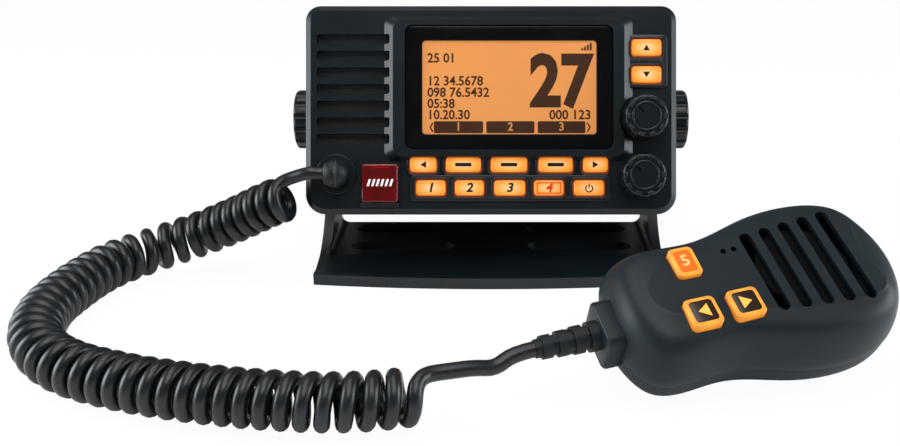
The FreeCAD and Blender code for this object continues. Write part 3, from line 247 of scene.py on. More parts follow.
def glow_round(name, centre, half, pale, deep, strength, turn):
    """Backlit rubber: palest in its middle and deeper towards its rim."""
    material, tree, shader = new_material(name)
    place = node(tree, "ShaderNodeTexCoord")
    shift = node(tree, "ShaderNodeVectorMath", operation="SUBTRACT")
    shift.inputs[1].default_value = centre
    turned = node(tree, "ShaderNodeVectorRotate", rotation_type="EULER_XYZ", invert=True)
    turned.inputs["Rotation"].default_value = turn
    spread = node(tree, "ShaderNodeVectorMath", operation="DIVIDE")
    spread.inputs[1].default_value = half
    reach = node(tree, "ShaderNodeVectorMath", operation="LENGTH")
    tree.links.new(place.outputs["Object"], shift.inputs[0])
    tree.links.new(shift.outputs["Vector"], turned.inputs["Vector"])
    tree.links.new(turned.outputs["Vector"], spread.inputs[0])
    tree.links.new(spread.outputs["Vector"], reach.inputs[0])
    patches = object_noise(tree, 420.0, 3.0)
    mixed = node(tree, "ShaderNodeMath", operation="MULTIPLY_ADD")
    mixed.inputs[1].default_value = 0.12
    tree.links.new(patches.outputs["Fac"], mixed.inputs[0])
    tree.links.new(reach.outputs["Value"], mixed.inputs[2])
    tint = ramp(tree, mixed.outputs["Value"], [(0.08, pale), (0.75, deep), (1.0, shade(deep, 0.72))])
    tree.links.new(tint.outputs["Color"], shader.inputs["Base Color"])
    tree.links.new(tint.outputs["Color"], shader.inputs["Emission Color"])
    shader.inputs["Emission Strength"].default_value = strength
    shader.inputs["Roughness"].default_value = 0.38
    fine = object_noise(tree, 5200.0, 2.0)
    bump_from(tree, shader, fine.outputs["Fac"], 0.1, 0.00004)
    return material


def clear_red(name):
    """The cover's clear red plastic, faintly cloudy."""
    material, tree, shader = new_material(name)
    cloud = object_noise(tree, 160.0, 3.0)
    tint = ramp(tree, cloud.outputs["Fac"], [(0.3, (0.22, 0.0, 0.001)), (0.75, (0.36, 0.0, 0.003))])
    tree.links.new(tint.outputs["Color"], shader.inputs["Base Color"])
    roughness_from(tree, shader, cloud.outputs["Fac"], 0.06, 0.14)
    shader.inputs["Transmission Weight"].default_value = 0.7
    shader.inputs["IOR"].default_value = 1.46
    shader.inputs["Coat Weight"].default_value = 0.1
    shader.inputs["Specular IOR Level"].default_value = 0.25
    return material


def woven(name, colour):
    """Speaker cloth: a fine plain weave on object coordinates."""
    material, tree, shader = new_material(name)
    place = node(tree, "ShaderNodeTexCoord")
    waves = []
    for direction in ("X", "Z"):
        wave = node(tree, "ShaderNodeTexWave", wave_type="BANDS", bands_direction=direction)
        wave.inputs["Scale"].default_value = 420.0
        wave.inputs["Distortion"].default_value = 1.5
        tree.links.new(place.outputs["Object"], wave.inputs["Vector"])
        waves.append(wave)
    both = node(tree, "ShaderNodeMath", operation="MULTIPLY")
    tree.links.new(waves[0].outputs["Fac"], both.inputs[0])
    tree.links.new(waves[1].outputs["Fac"], both.inputs[1])
    tint = ramp(tree, both.outputs["Value"], [(0.1, shade(colour, 0.3)), (0.8, shade(colour, 2.4))])
    tree.links.new(tint.outputs["Color"], shader.inputs["Base Color"])
    shader.inputs["Roughness"].default_value = 0.8
    bump_from(tree, shader, both.outputs["Value"], 0.6, 0.0002)
    return material


def lit_display(name, colour):
    """The backlit display: a glow with a slow, slight change of brightness, and a faint pixel grid."""
    material, tree, shader = new_material(name)
    place = node(tree, "ShaderNodeTexCoord")
    grid = node(tree, "ShaderNodeTexChecker")
    grid.inputs["Scale"].default_value = 1700.0
    grid.inputs["Color1"].default_value = (*colour, 1)
    grid.inputs["Color2"].default_value = (*shade(colour, 0.965), 1)
    tree.links.new(place.outputs["Object"], grid.inputs["Vector"])
    slow = object_noise(tree, 22.0, 2.0)
    tint = ramp(tree, slow.outputs["Fac"], [(0.25, (0.86, 0.86, 0.86)), (0.75, (1.0, 1.0, 1.0))])
    mix = node(tree, "ShaderNodeMix", data_type="RGBA", blend_type="MULTIPLY")
    mix.inputs["Factor"].default_value = 1.0
    tree.links.new(grid.outputs["Color"], mix.inputs["A"])
    tree.links.new(tint.outputs["Color"], mix.inputs["B"])
    tree.links.new(mix.outputs["Result"], shader.inputs["Base Color"])
    tree.links.new(mix.outputs["Result"], shader.inputs["Emission Color"])
    shader.inputs["Emission Strength"].default_value = 0.75
    shader.inputs["Roughness"].default_value = 0.35
    shader.inputs["Specular IOR Level"].default_value = 0.1
    return material


def window_gloss(name):
    """The black gloss round the display, with a faint haze."""
    material, tree, shader = new_material(name)
    haze = object_noise(tree, 60.0, 2.0)
    tint = ramp(tree, haze.outputs["Fac"], [(0.3, (0.002, 0.002, 0.0025)), (0.7, (0.004, 0.004, 0.005))])
    tree.links.new(tint.outputs["Color"], shader.inputs["Base Color"])
    roughness_from(tree, shader, haze.outputs["Fac"], 0.1, 0.16)
    shader.inputs["Specular IOR Level"].default_value = 0.12
    return material


def printed(name, colour, emission=0.0):
    """Ink or a printed mark, with a faint mottle."""
    material, tree, shader = new_material(name)
    mottle = object_noise(tree, 1500.0, 2.0)
    tint = ramp(tree, mottle.outputs["Fac"], [(0.3, shade(colour, 0.85)), (0.7, colour)])
    tree.links.new(tint.outputs["Color"], shader.inputs["Base Color"])
    if emission:
        tree.links.new(tint.outputs["Color"], shader.inputs["Emission Color"])
        shader.inputs["Emission Strength"].default_value = emission
    shader.inputs["Roughness"].default_value = 0.5
    shader.inputs["Specular IOR Level"].default_value = 0.2
    return material


# Pieces
def clear_selection():
    bpy.ops.object.select_all(action="DESELECT")


def only(obj):
    clear_selection()
    obj.select_set(True)
    bpy.context.view_layer.objects.active = obj


def settle(obj, matrix):
    """Puts a piece drawn in millimetres where a matrix says, with its place in its mesh."""
    only(obj)
    obj.matrix_world = matrix @ Matrix.Scale(MM, 4) @ obj.matrix_world
    bpy.ops.object.transform_apply(location=True, rotation=True, scale=True)
    return obj


def to_mesh(obj):
    only(obj)
    bpy.ops.object.convert(target="MESH")
    return bpy.context.view_layer.objects.active


def tidy_mesh(obj, angle=40):
    only(obj)
    bpy.ops.object.mode_set(mode="EDIT")
    bpy.ops.mesh.select_all(action="SELECT")
    bpy.ops.mesh.remove_doubles(threshold=0.0002)
    bpy.ops.mesh.normals_make_consistent(inside=False)
    bpy.ops.object.mode_set(mode="OBJECT")
    bpy.ops.object.shade_smooth_by_angle(angle=math.radians(angle))


def rounded_loop(x0, x1, y0, y1, radius, steps=6):
    """A rounded rectangle as a list of points."""
    points = []
    corners = [(x1 - radius, y1 - radius, 0), (x0 + radius, y1 - radius, 90),
               (x0 + radius, y0 + radius, 180), (x1 - radius, y0 + radius, 270)]
    for cx, cy, start in corners:
        for step in range(steps + 1):
            angle = math.radians(start + 90 * step / steps)
            points.append((cx + radius * math.cos(angle), cy + radius * math.sin(angle)))
    return points


def round_loop(cx, cy, radius, steps=40):
    angles = [2 * math.pi * index / steps for index in range(steps)]
    return [(cx + radius * math.cos(a), cy + radius * math.sin(a)) for a in angles]


def grown(box, by, radius):
    """A rounded outline round a box of left, right, low and high, moved out by a distance."""
    left, right, low, high = box
    return rounded_loop(left - by, right + by, low - by, high + by, radius)


def flat_piece(name, loops, low, high, matrix, bevel=0.0):
    """A plate of any outline, from a low to a high level over its face, with its edges eased."""
    curve = bpy.data.curves.new(name, "CURVE")
    curve.dimensions = "2D"
    curve.fill_mode = "BOTH"
    for loop in loops:
        spline = curve.splines.new("POLY")
        spline.points.add(len(loop) - 1)
        for point, (x, y) in zip(spline.points, loop):
            point.co = (x, y, 0, 1)
        spline.use_cyclic_u = True
    curve.extrude = (high - low) / 2 - bevel
    if bevel:
        curve.bevel_depth = bevel
        curve.bevel_resolution = 2
        curve.offset = -bevel
    obj = bpy.data.objects.new(name, curve)
    bpy.context.collection.objects.link(obj)
    obj.location = (0, 0, (low + high) / 2)
    bpy.context.view_layer.update()
    obj = to_mesh(obj)
    tidy_mesh(obj)
    return settle(obj, matrix)


def lettering(name, text, size, place, low, high, matrix, wide=1.0, weight=0.0, shear=0.0, align="CENTER"):
    """Plain figures as a thin raised print."""
    curve = bpy.data.curves.new(name, "FONT")
    curve.body = text
    curve.size = size
    curve.align_x = align
    curve.align_y = "CENTER"
    curve.shear = shear
    curve.offset = weight
    curve.extrude = (high - low) / 2
    curve.resolution_u = 3
    obj = bpy.data.objects.new(name, curve)
    bpy.context.collection.objects.link(obj)
    obj.location = (place[0], place[1], (low + high) / 2)
    obj.scale = (wide, 1, 1)
    bpy.context.view_layer.update()
    obj = to_mesh(obj)
    tidy_mesh(obj, 30)
    return settle(obj, matrix)


def joined(name, objects):
    clear_selection()
    for obj in objects:
        obj.select_set(True)
    bpy.context.view_layer.objects.active = objects[0]
    if len(objects) > 1:
        bpy.ops.object.join()
    whole = bpy.context.view_layer.objects.active
    whole.name = name
    whole.data.name = name
    return whole


def finish(obj, material, body):
    obj.data.materials.clear()
    obj.data.materials.append(material)
    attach(obj, body)
    return obj


def local_box(name, matrix):
    """A node's lowest and highest corners in a piece's own frame, in millimetres."""
    inverse = matrix.inverted()
    corners = [inverse @ vertex.co for vertex in frame["nodes"][name].data.vertices]
    low = [min(c[i] for c in corners) / MM for i in range(3)]
    high = [max(c[i] for c in corners) / MM for i in range(3)]
    return low, high


def dress(name, material):
    """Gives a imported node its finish."""
    target = frame["nodes"][name]
    slots = target.material_slots
    if not slots:
        target.data.materials.append(material)
    for entry in target.material_slots:
        entry.material = material


def sizes():
    return bpy.context.scene.radio_sizes


def colours():
    return bpy.context.scene.radio_colours


# Stage
def area_light(name, place, target, size, energy, colour):
    data = bpy.data.lights.new(name, "AREA")
    data.shape = "RECTANGLE"
    data.size, data.size_y = size
    data.energy = energy
    data.color = colour
    obj = bpy.data.objects.new(name, data)
    bpy.context.collection.objects.link(obj)
    obj.location = place
    obj.rotation_euler = (Vector(target) - Vector(place)).to_track_quat("-Z", "Y").to_euler()
    return obj


def floor_material():
    """Pale floor that shows white to the camera and keeps a faint shadow."""
    material, tree, shader = new_material("floor")
    mottle = object_noise(tree, 3.0, 2.0)
    tint = ramp(tree, mottle.outputs["Fac"], [(0.3, (0.93, 0.93, 0.93)), (0.7, (0.95, 0.95, 0.95))])
    tree.links.new(tint.outputs["Color"], shader.inputs["Base Color"])
    shader.inputs["Roughness"].default_value = 0.7
    light = node(tree, "ShaderNodeEmission")
    light.inputs["Strength"].default_value = 1.0
    path = node(tree, "ShaderNodeLightPath")
    share = node(tree, "ShaderNodeMath", operation="MULTIPLY")
    share.inputs[1].default_value = FLOOR_WHITE
    tree.links.new(path.outputs["Is Camera Ray"], share.inputs[0])
    mix = node(tree, "ShaderNodeMixShader")
    output = tree.nodes["Material Output"]
    tree.links.new(share.outputs["Value"], mix.inputs["Fac"])
    tree.links.new(shader.outputs["BSDF"], mix.inputs[1])
    tree.links.new(light.outputs["Emission"], mix.inputs[2])
    tree.links.new(mix.outputs["Shader"], output.inputs["Surface"])
    return material


def white_world():
    world = bpy.data.worlds.new("studio")
    bpy.context.scene.world = world
    world.use_nodes = True
    tree = world.node_tree
    back = tree.nodes["Background"]
    back.inputs["Color"].default_value = (1, 1, 1, 1)
    path = node(tree, "ShaderNodeLightPath")
    seen = node(tree, "ShaderNodeMath", operation="MAXIMUM")
    tree.links.new(path.outputs["Is Camera Ray"], seen.inputs[0])
    tree.links.new(path.outputs["Is Transmission Ray"], seen.inputs[1])
    strength = node(tree, "ShaderNodeMapRange")
    strength.inputs["To Min"].default_value = WORLD_LIGHT
    strength.inputs["To Max"].default_value = 1.0
    tree.links.new(seen.outputs["Value"], strength.inputs["Value"])
    tree.links.new(strength.outputs["Result"], back.inputs["Strength"])


class RADIO_OT_stage(bpy.types.Operator):
    """Sets the camera, the lamps, the world and the pale floor"""
    bl_idname = "radio.stage"
    bl_label = "Stage"

    def execute(self, context):
        context.scene.view_settings.view_transform = "Standard"
        camera = bpy.data.cameras.new("camera")
        camera.sensor_width = CAMERA_SENSOR
        camera.lens = CAMERA_LENS
        camera.shift_x = CAMERA_SHIFT
        camera.clip_start = 0.02
        obj = bpy.data.objects.new("camera", camera)
        context.collection.objects.link(obj)
        obj.location = CAMERA_PLACE
        obj.rotation_euler = (CAMERA_PITCH, 0, 0)
        context.scene.camera = obj
        clear_selection()
        bpy.ops.mesh.primitive_plane_add(size=6, location=(0, 0, -0.0004))
        floor = context.active_object
        floor.name = "floor"
        floor.data.materials.append(floor_material())
        white_world()
        for name, (place, target, size, power, colour) in LAMPS.items():
            area_light(name, place, target, size, power, colour)
        return {"FINISHED"}


# Cord
def spline_object(name, points):
    """A smooth open curve led by its points."""
    curve = bpy.data.curves.new(name, "CURVE")
    curve.dimensions = "3D"
    curve.twist_mode = "MINIMUM"
    spline = curve.splines.new("NURBS")
    spline.points.add(len(points) - 1)
    for control, point in zip(spline.points, points):
        control.co = (*point, 1.0)
    spline.order_u = 3
    spline.use_endpoint_u = True
    spline.resolution_u = 4
    obj = bpy.data.objects.new(name, curve)
    bpy.context.collection.objects.link(obj)
    bpy.context.view_layer.update()
    return obj


def line_of(obj):
    """The points of a curve with no bevel, read in order."""
    graph = bpy.context.evaluated_depsgraph_get()
    mesh = bpy.data.meshes.new_from_object(obj.evaluated_get(graph))
    points = [vertex.co.copy() for vertex in mesh.vertices]
    bpy.data.meshes.remove(mesh)
    return points


class MiddleLine:
    """The coil's middle line by distance along it."""

    def __init__(self, points):
        self.points = points
        self.marks = [0.0]
        for a, b in zip(points, points[1:]):
            self.marks.append(self.marks[-1] + (b - a).length)
        self.length = self.marks[-1]

    def at(self, distance):
        distance = min(max(distance, 0.0), self.length)
        low, high = 0, len(self.marks) - 2
        while low < high:
            middle = (low + high + 1) // 2
            if self.marks[middle] <= distance:
                low = middle
            else:
                high = middle - 1
        share = (distance - self.marks[low]) / (self.marks[low + 1] - self.marks[low])
        return self.points[low].lerp(self.points[low + 1], share)

    def way(self, distance):
        step = 0.0015
        middle = min(max(distance, step), self.length - step)
        return (self.at(middle + step) - self.at(middle - step)).normalized()

    def strand(self, distance, angle, radius):
        ahead = self.way(distance)
        up = (Vector((0, 0, 1)) - ahead * ahead.z).normalized()
        side = ahead.cross(up)
        return self.at(distance) + (up * math.cos(angle) - side * math.sin(angle)) * radius

    def bend(self, distance):
        step = 0.004
        return self.way(distance - step).angle(self.way(distance + step)) / (2 * step)


def coil_points(line):
    """The turns of the cord: out of one lead, round the middle line and into the other lead."""
    radius = (COIL_DIAMETER - CORD_DIAMETER) / 2
    step = 0.00025
    round_trip = 2 * math.pi * radius
    full = math.atan2(round_trip, CORD_DIAMETER + COIL_GAP)
    exit_run = COIL_EXIT_RADIUS * math.sin(full)
    least_lean = 0.02
    distance, angle = 0.0, 0.0
    track = [(distance, angle)]
    while distance < line.length:
        left = line.length - distance
        lean_in = math.asin(min(1.0, distance / COIL_EXIT_RADIUS)) if distance < exit_run else full
        lean_out = math.asin(min(1.0, left / COIL_EXIT_RADIUS)) if left < exit_run else full
        pitch = (CORD_DIAMETER + COIL_GAP) / (1 - radius * line.bend(distance))
        lean = min(math.atan2(round_trip, pitch), max(lean_in, least_lean), max(lean_out, least_lean))
        distance += math.cos(lean) * step
        angle += math.sin(lean) * step / radius
        track.append((distance, angle))
    turns = round(angle / (2 * math.pi))
    stretch = turns * 2 * math.pi / angle
    scale = line.length / distance
    count = turns * TURN_POINTS
    picked = [track[round(index * (len(track) - 1) / count)] for index in range(count + 1)]
    return [line.strand(d * scale, a * stretch, radius) for d, a in picked]


def cord_piece(name, points):
    """One stretch of the cord as a smooth round tube, and the line that it follows."""
    curve = spline_object(name, points)
    path = line_of(curve)
    curve.data.bevel_depth = CORD_DIAMETER / 2
    curve.data.bevel_resolution = 4
    curve.data.use_fill_caps = True
    bpy.context.view_layer.update()
    tube = to_mesh(curve)
    only(tube)
    bpy.ops.object.shade_smooth()
    return tube, path


class RADIO_OT_cord(bpy.types.Operator):
    """Winds the curly cord along its route, from the panel's boot to the microphone's boot"""
    bl_idname = "radio.cord"
    bl_label = "Curly cord"

    def execute(self, context):
        route = spline_object("route", COIL_AXIS)
        line = MiddleLine(line_of(route))
        bpy.data.objects.remove(route)
        turns = coil_points(line)
        way_in, way_out = line.way(0.0), line.way(line.length)
        boot_low, _ = local_box("radio_cord_boot", RADIO)
        exit_radio = RADIO @ (Vector((boot_low[0], *BOOT_EXIT)) * MM)
        mic_low, _ = local_box("mic_cord_boot", MIC)
        exit_mic = MIC @ (Vector((mic_low[0], 0, MIC_EXIT_HEIGHT)) * MM)
        mic_way = (MIC_TURN @ Vector((1, 0, 0))).normalized()
        straight, join, bend = Vector((-0.0024, 0, 0)), 0.0075, 0.008
        sag = Vector((0.0006, -0.0006, -0.0026))
        lead_in = [exit_radio, exit_radio + straight, turns[0] - way_in * join]
        last = turns[-1] + way_out * CORD_DIAMETER
        bend_a = last + way_out * bend
        bend_b = exit_mic - mic_way * bend
        lead_out = [last, bend_a, (bend_a + bend_b) * 0.5 + sag, bend_b, exit_mic]
        middle = len(turns) // 2
        split = (turns[middle] + turns[middle + 1]) * 0.5
        first, first_path = cord_piece("cord_radio_half", lead_in + turns[:middle + 1] + [split])
        second, second_path = cord_piece("cord_mic_half", [split] + turns[middle + 1:] + lead_out)
        jacket = moulded("cord_jacket", colours().cord, (0.3, 0.42), 3200.0, 0.15, 0.2, 0.4)
        for piece in (first, second):
            piece.data.materials.clear()
            piece.data.materials.append(jacket)
        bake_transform(first)
        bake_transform(second)
        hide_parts("cord_lead_radio", "cord_coil")
        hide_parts("cord_lead_mic")
        return {"FINISHED"}


# Display
def face_of(name):
    """A panel node's box as left, right, low, high and front, in millimetres over the face."""
    low, high = local_box(name, RADIO)
    return low[0], high[0], low[2], high[2], -low[1]


# Small rows: each text, and how far its middle lies under the display's top edge
DISPLAY_ROWS = (
    ("25 01", 7.6), ("12 34.5678", 17.4), ("098 76.5432", 22.3), ("05:38", 27.1), ("10.20.30", 31.9),
)
# Bars over the soft keys: figure, both ends and the figure's middle, from the display's left edge
DISPLAY_BARS = (("1", 4.9, 26.0, 15.4), ("2", 27.4, 48.0, 37.7), ("3", 49.4, 69.8, 59.6))


class RADIO_OT_display(bpy.types.Operator):
    """Makes the gloss window, the lit display and its figures"""
    bl_idname = "radio.display"
    bl_label = "Display"

    def execute(self, context):
        left, right, low, high, front = face_of("display_lens")
        lit = face_of("lcd_module")[:4]
        level = front - sizes().display_drop / MM
        window_depth, window_corner, window_bevel = 1.9, 3.0, 0.35
        lit_depth, lit_corner, lit_lap = 1.8, 1.4, 0.2
        loops = [rounded_loop(left, right, low, high, window_corner), grown(lit, 0.0, lit_corner)]
        window = flat_piece("window_frame", loops, front - window_depth, front, RADIO_FACE, window_bevel)
        finish(window, window_gloss("window_gloss"), "radio")
        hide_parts("display_lens")
        plate = grown(lit, lit_lap, lit_corner)
        face = flat_piece("display_face", [plate], front - lit_depth, level, RADIO_FACE)
        finish(face, lit_display("display_glow", colours().display), "radio")
        base, top = level + 0.01, level + 0.07
        self.figures(lit, base, top)
        self.bar_numbers(lit, top)
        return {"FINISHED"}

    def figures(self, lit, base, top):
        """The dark print: the small rows, the channel, the bars, the signal strips and the two chevrons."""
        left, right, _, high = lit
        row_size, row_wide, row_weight, row_inset = 5.6, 0.95, 0.11, 2.1
        last_wide, right_inset = 0.98, 2.2
        channel_size, channel_drop, channel_wide, channel_weight = 30.5, 18.3, 0.86, 1.15
        marks = []
        for index, (text, drop) in enumerate(DISPLAY_ROWS):
            place = (left + row_inset, high - drop)
            marks.append(lettering(f"row_{index}", text, row_size, place, base, top, RADIO_FACE,
                                   row_wide, row_weight, 0.0, "LEFT"))
        side = right - right_inset
        place = (side, high - DISPLAY_ROWS[-1][1])
        marks.append(lettering("row_right", "000 123", row_size, place, base, top, RADIO_FACE,
                               last_wide, row_weight, 0.0, "RIGHT"))
        marks.append(lettering("channel", "27", channel_size, (side, high - channel_drop), base, top,
                               RADIO_FACE, channel_wide, channel_weight, 0.0, "RIGHT"))
        bar_top, bar_low, bar_corner = 34.5, 39.6, 0.7
        outlines = []
        for _, start, end, _ in DISPLAY_BARS:
            bar = rounded_loop(left + start, left + end, high - bar_low, high - bar_top, bar_corner)
            outlines.append(("bar", bar))
        strip_start, strip_pitch, strip_wide, strip_low = 6.4, 1.2, 0.8, 4.2
        strip_first, strip_rise = 3.2, 0.75
        for step in range(4):
            x, foot = right - strip_start + step * strip_pitch, high - strip_low
            tip = high - strip_first + step * strip_rise
            strip = [(x, foot), (x + strip_wide, foot), (x + strip_wide, tip), (x, tip)]
            outlines.append(("signal", strip))
        chevron_drop, chevron_half = 37.1, 2.0
        z = high - chevron_drop
        for x, way in ((left + 3.9, -1), (right - 3.3, 1)):
            near, far, above, below = way * 0.2, way * 0.9, z + chevron_half, z - chevron_half
            chevron = [(x - far, above), (x - near, above), (x + far, z),
                       (x - near, below), (x - far, below), (x + near, z)]
            outlines.append(("chevron", chevron))
        shapes = [flat_piece(name, [outline], base, top, RADIO_FACE) for name, outline in outlines]
        ink = printed("display_ink", (0.045, 0.014, 0.003))
        finish(joined("display_figures", marks + shapes), ink, "radio")

    def bar_numbers(self, lit, top):
        """The pale figure on each bar."""
        size, drop, wide, weight, rise = 5.0, 37.0, 0.95, 0.12, 0.05
        numbers = []
        for text, _, _, middle in DISPLAY_BARS:
            place = (lit[0] + middle, lit[3] - drop)
            numbers.append(lettering("bar_number", text, size, place, top, top + rise, RADIO_FACE,
                                     wide, weight))
        pale = printed("bar_figures_ink", shade(colours().display, 0.95), 0.35)
        finish(joined("display_bar_figures", numbers), pale, "radio")


# Keys
def arrow(cx, cy, width, height, way):
    """A solid arrowhead pointing left, right, up or down."""
    half_w, half_h = width / 2, height / 2
    sign = -1 if way in ("left", "down") else 1
    if way in ("left", "right"):
        back = cx - sign * half_w
        return [(cx + sign * half_w, cy), (back, cy + half_h), (back, cy - half_h)]
    foot = cy - sign * half_h
    return [(cx, cy + sign * half_h), (cx - half_w, foot), (cx + half_w, foot)]


def power_loops(cx, cy, radius, stroke):
    """The power symbol: an open ring and an upright bar."""
    start, end, steps = 125, 415, 30
    angles = [math.radians(start + (end - start) * i / steps) for i in range(steps + 1)]
    inside = radius - stroke
    outer = [(cx + radius * math.cos(a), cy + radius * math.sin(a)) for a in angles]
    inner = [(cx + inside * math.cos(a), cy + inside * math.sin(a)) for a in reversed(angles)]
    half, tip = stroke / 2, cy + radius * 1.25
    bar = [(cx - half, cy), (cx + half, cy), (cx + half, tip), (cx - half, tip)]
    return [outer + inner], [bar]


# Front keys: the kind of mark on each, and what it points to or says
FRONT_KEYS = {
    "key_left": ("arrow", "left"),
    "key_soft_1": ("bar", ""),
    "key_soft_2": ("bar", ""),
    "key_soft_3": ("bar", ""),
    "key_right": ("arrow", "right"),
    "key_high_low": ("figure", "1"),
    "key_menu": ("figure", "2"),
    "key_clear": ("figure", "3"),
    "key_call_channel": ("boxed", "4"),
    "key_power": ("power", ""),
    "key_up": ("arrow", "up"),
    "key_down": ("arrow", "down"),
}
# Raised plates round keys: the keys in each, its border and its height over the panel's face
KEY_PLATES = {
    "lower_deck": (("key_high_low", "key_menu", "key_clear", "key_call_channel", "key_power"), 2.2, 0.9),
    "arrow_bezel": (("key_up", "key_down"), 1.9, 1.0),
}


class RADIO_OT_front_keys(bpy.types.Operator):
    """Lights the front keys and gives each its rim, its glow and its mark, with a ring of painted light
    spill in the recess round it
    """
    bl_idname = "radio.front_keys"
    bl_label = "Front keys"

    def execute(self, context):
        ink = printed("key_ink", INK)
        hot = printed("key_hot_ink", (0.7, 0.035, 0.004), 0.2)
        skirt, reach, glow_strength = 0.8, 1.25, 0.6
        rim_gap, rim_drop, rim_corner, hole_corner = 0.55, 1.9, 2.3, 1.6
        rim_width = sizes().rim_width / MM
        rims, painted_spill_rings = [], []
        for name, (kind, mark) in FRONT_KEYS.items():
            left, right, low, high, front = face_of(name)
            cap = (left + skirt, right - skirt, low + skirt, high - skirt)
            cx, cz = (cap[0] + cap[1]) / 2, (cap[2] + cap[3]) / 2
            centre = RADIO_FACE @ (Vector((cx, cz, front)) * MM)
            half = Vector(((cap[1] - cap[0]) / 2, 30.0, (cap[3] - cap[2]) / 2)) * MM * reach
            dress(name, glow_round(name + "_glow", centre, half, AMBER_PALE, AMBER, glow_strength,
                                   (RADIO_TILT, 0, 0)))
            self.mark(name, kind, mark, cx, cz, front, ink, hot)
            base = front - rim_drop
            rim = [grown(cap, rim_gap + rim_width, rim_corner), grown(cap, rim_gap, hole_corner)]
            rims.append(flat_piece("rim", rim, base - 0.8, base + 1.15, RADIO_FACE, 0.3))
            # Painted light: an emissive red ring low in the recess round each key stands in for the keys'
            # backlight falling on it
            spill = [grown(cap, 0.5, 1.5), grown(cap, -0.1, 1.2)]
            painted_spill_rings.append(flat_piece("glow", spill, base - 0.3, base + 0.25, RADIO_FACE))
        plastic = moulded("rim_plastic", shade(colours().casing, 0.8), (0.25, 0.38), 2600.0, 0.15)
        finish(joined("key_rims", rims), plastic, "radio")
        # Painted light spill: a reddish colour with its own emission, standing in for light from the keys
        painted_spill_ink = printed("key_painted_light_spill", (0.4, 0.05, 0.006), 0.4)
        finish(joined("key_painted_light_spill_rings", painted_spill_rings), painted_spill_ink, "radio")
        self.plates(plastic)
        return {"FINISHED"}

    def plates(self, plastic):
        """The black deck that the lower row stands in, and the raised bezel round the two arrow keys."""
        sink, corner, hole_inset, hole_corner, bevel = 0.6, 2.4, 0.1, 1.6, 0.3
        for name, (keys, border, rise) in KEY_PLATES.items():
            boxes = [face_of(key)[:4] for key in keys]
            upright = border * 0.7
            left, right = min(b[0] for b in boxes) - border, max(b[1] for b in boxes) + border
            low, high = min(b[2] for b in boxes) - upright, max(b[3] for b in boxes) + upright
            loops = [rounded_loop(left, right, low, high, corner)]
            loops += [grown(b, -hole_inset, hole_corner) for b in boxes]
            plate = flat_piece(name, loops, PANEL_FACE - sink, PANEL_FACE + rise, RADIO_FACE, bevel)
            finish(plate, plastic, "radio")

    def mark(self, name, kind, mark, cx, cz, front, ink, hot):
        """One key's print: an arrow, a bar, the power symbol or a figure, which may stand in a box."""
        low, high = front + 0.005, front + sizes().legend_rise / MM
        reach, spread = 2.5, 2.9
        bar_half, bar_thick, bar_corner = 3.5, 0.75, 0.35
        power_radius, power_stroke, power_drop = 1.75, 0.5, 0.2
        figure_size, figure_wide, figure_weight, figure_slant = 5.4, 1.05, 0.16, 0.2
        box_half, box_tall, box_line = 4.8, 2.0, 0.4
        shapes = []
        if kind == "arrow":
            side = mark in ("left", "right")
            shapes.append([arrow(cx, cz, reach if side else spread, spread if side else reach, mark)])
        elif kind == "bar":
            shapes.append([rounded_loop(cx - bar_half, cx + bar_half, cz - bar_thick, cz + bar_thick,
                                        bar_corner)])
        elif kind == "power":
            shapes += power_loops(cx, cz - power_drop, power_radius, power_stroke)
        pieces = [flat_piece("mark", loops, low, high, RADIO_FACE) for loops in shapes]
        if kind in ("figure", "boxed"):
            pieces.append(lettering("mark", mark, figure_size, (cx, cz), low, high, RADIO_FACE, figure_wide,
                                    figure_weight, figure_slant))
        if kind == "boxed":
            box = (cx - box_half, cx + box_half, cz - box_tall, cz + box_tall)
            loops = [grown(box, box_line, 0.4), grown(box, 0.0, 0.3)]
            pieces.append(flat_piece("mark", loops, low, high, RADIO_FACE))
        finish(joined(name + "_mark", pieces), hot if kind == "boxed" else ink, name)


class RADIO_OT_distress(bpy.types.Operator):
    """Gives the lifting cover its slanted marks, its red and the lip below it"""
    bl_idname = "radio.distress"
    bl_label = "Distress cover"

    def execute(self, context):
        left, right, low, high, front = face_of("distress_cover")
        dress("distress_cover", clear_red("clear_red"))
        dress("distress_button", moulded("button_red", (0.3, 0.004, 0.006), (0.3, 0.4), 2400.0, 0.1, 0.1))
        cx, cz = (left + right) / 2, (low + high) / 2 + 0.2
        count, first, pitch = 6, 5.0, 1.9
        slant, stroke, tall = 0.9, 0.95, 1.5
        marks = []
        for index in range(count):
            x = cx - first + index * pitch
            foot, head = x - slant / 2, x + slant / 2
            slash = [(foot, cz - tall), (foot + stroke, cz - tall),
                     (head + stroke, cz + tall), (head, cz + tall)]
            marks.append(flat_piece("slash", [slash], front + 0.005, front + 0.06, RADIO_FACE))
        # White print, with a faint painted glow from its emission so it reads brighter than the lamps light
        # it
        white = printed("white_ink_painted_glow", (0.85, 0.85, 0.85), 0.15)
        finish(joined("distress_cover_marks", marks), white, "distress_cover")
        gap, lip, lap, corner = 0.35, 1.7, 0.2, 0.5
        outline = rounded_loop(left - lap, right + lap, low - gap - lip, low - gap, corner)
        ledge = flat_piece("distress_ledge", [outline], PANEL_FACE - 0.2, front - 1.0, RADIO_FACE, 0.2)
        dark = moulded("ledge_plastic", shade(colours().casing, 0.7), (0.25, 0.35))
        finish(ledge, dark, "radio")
        return {"FINISHED"}


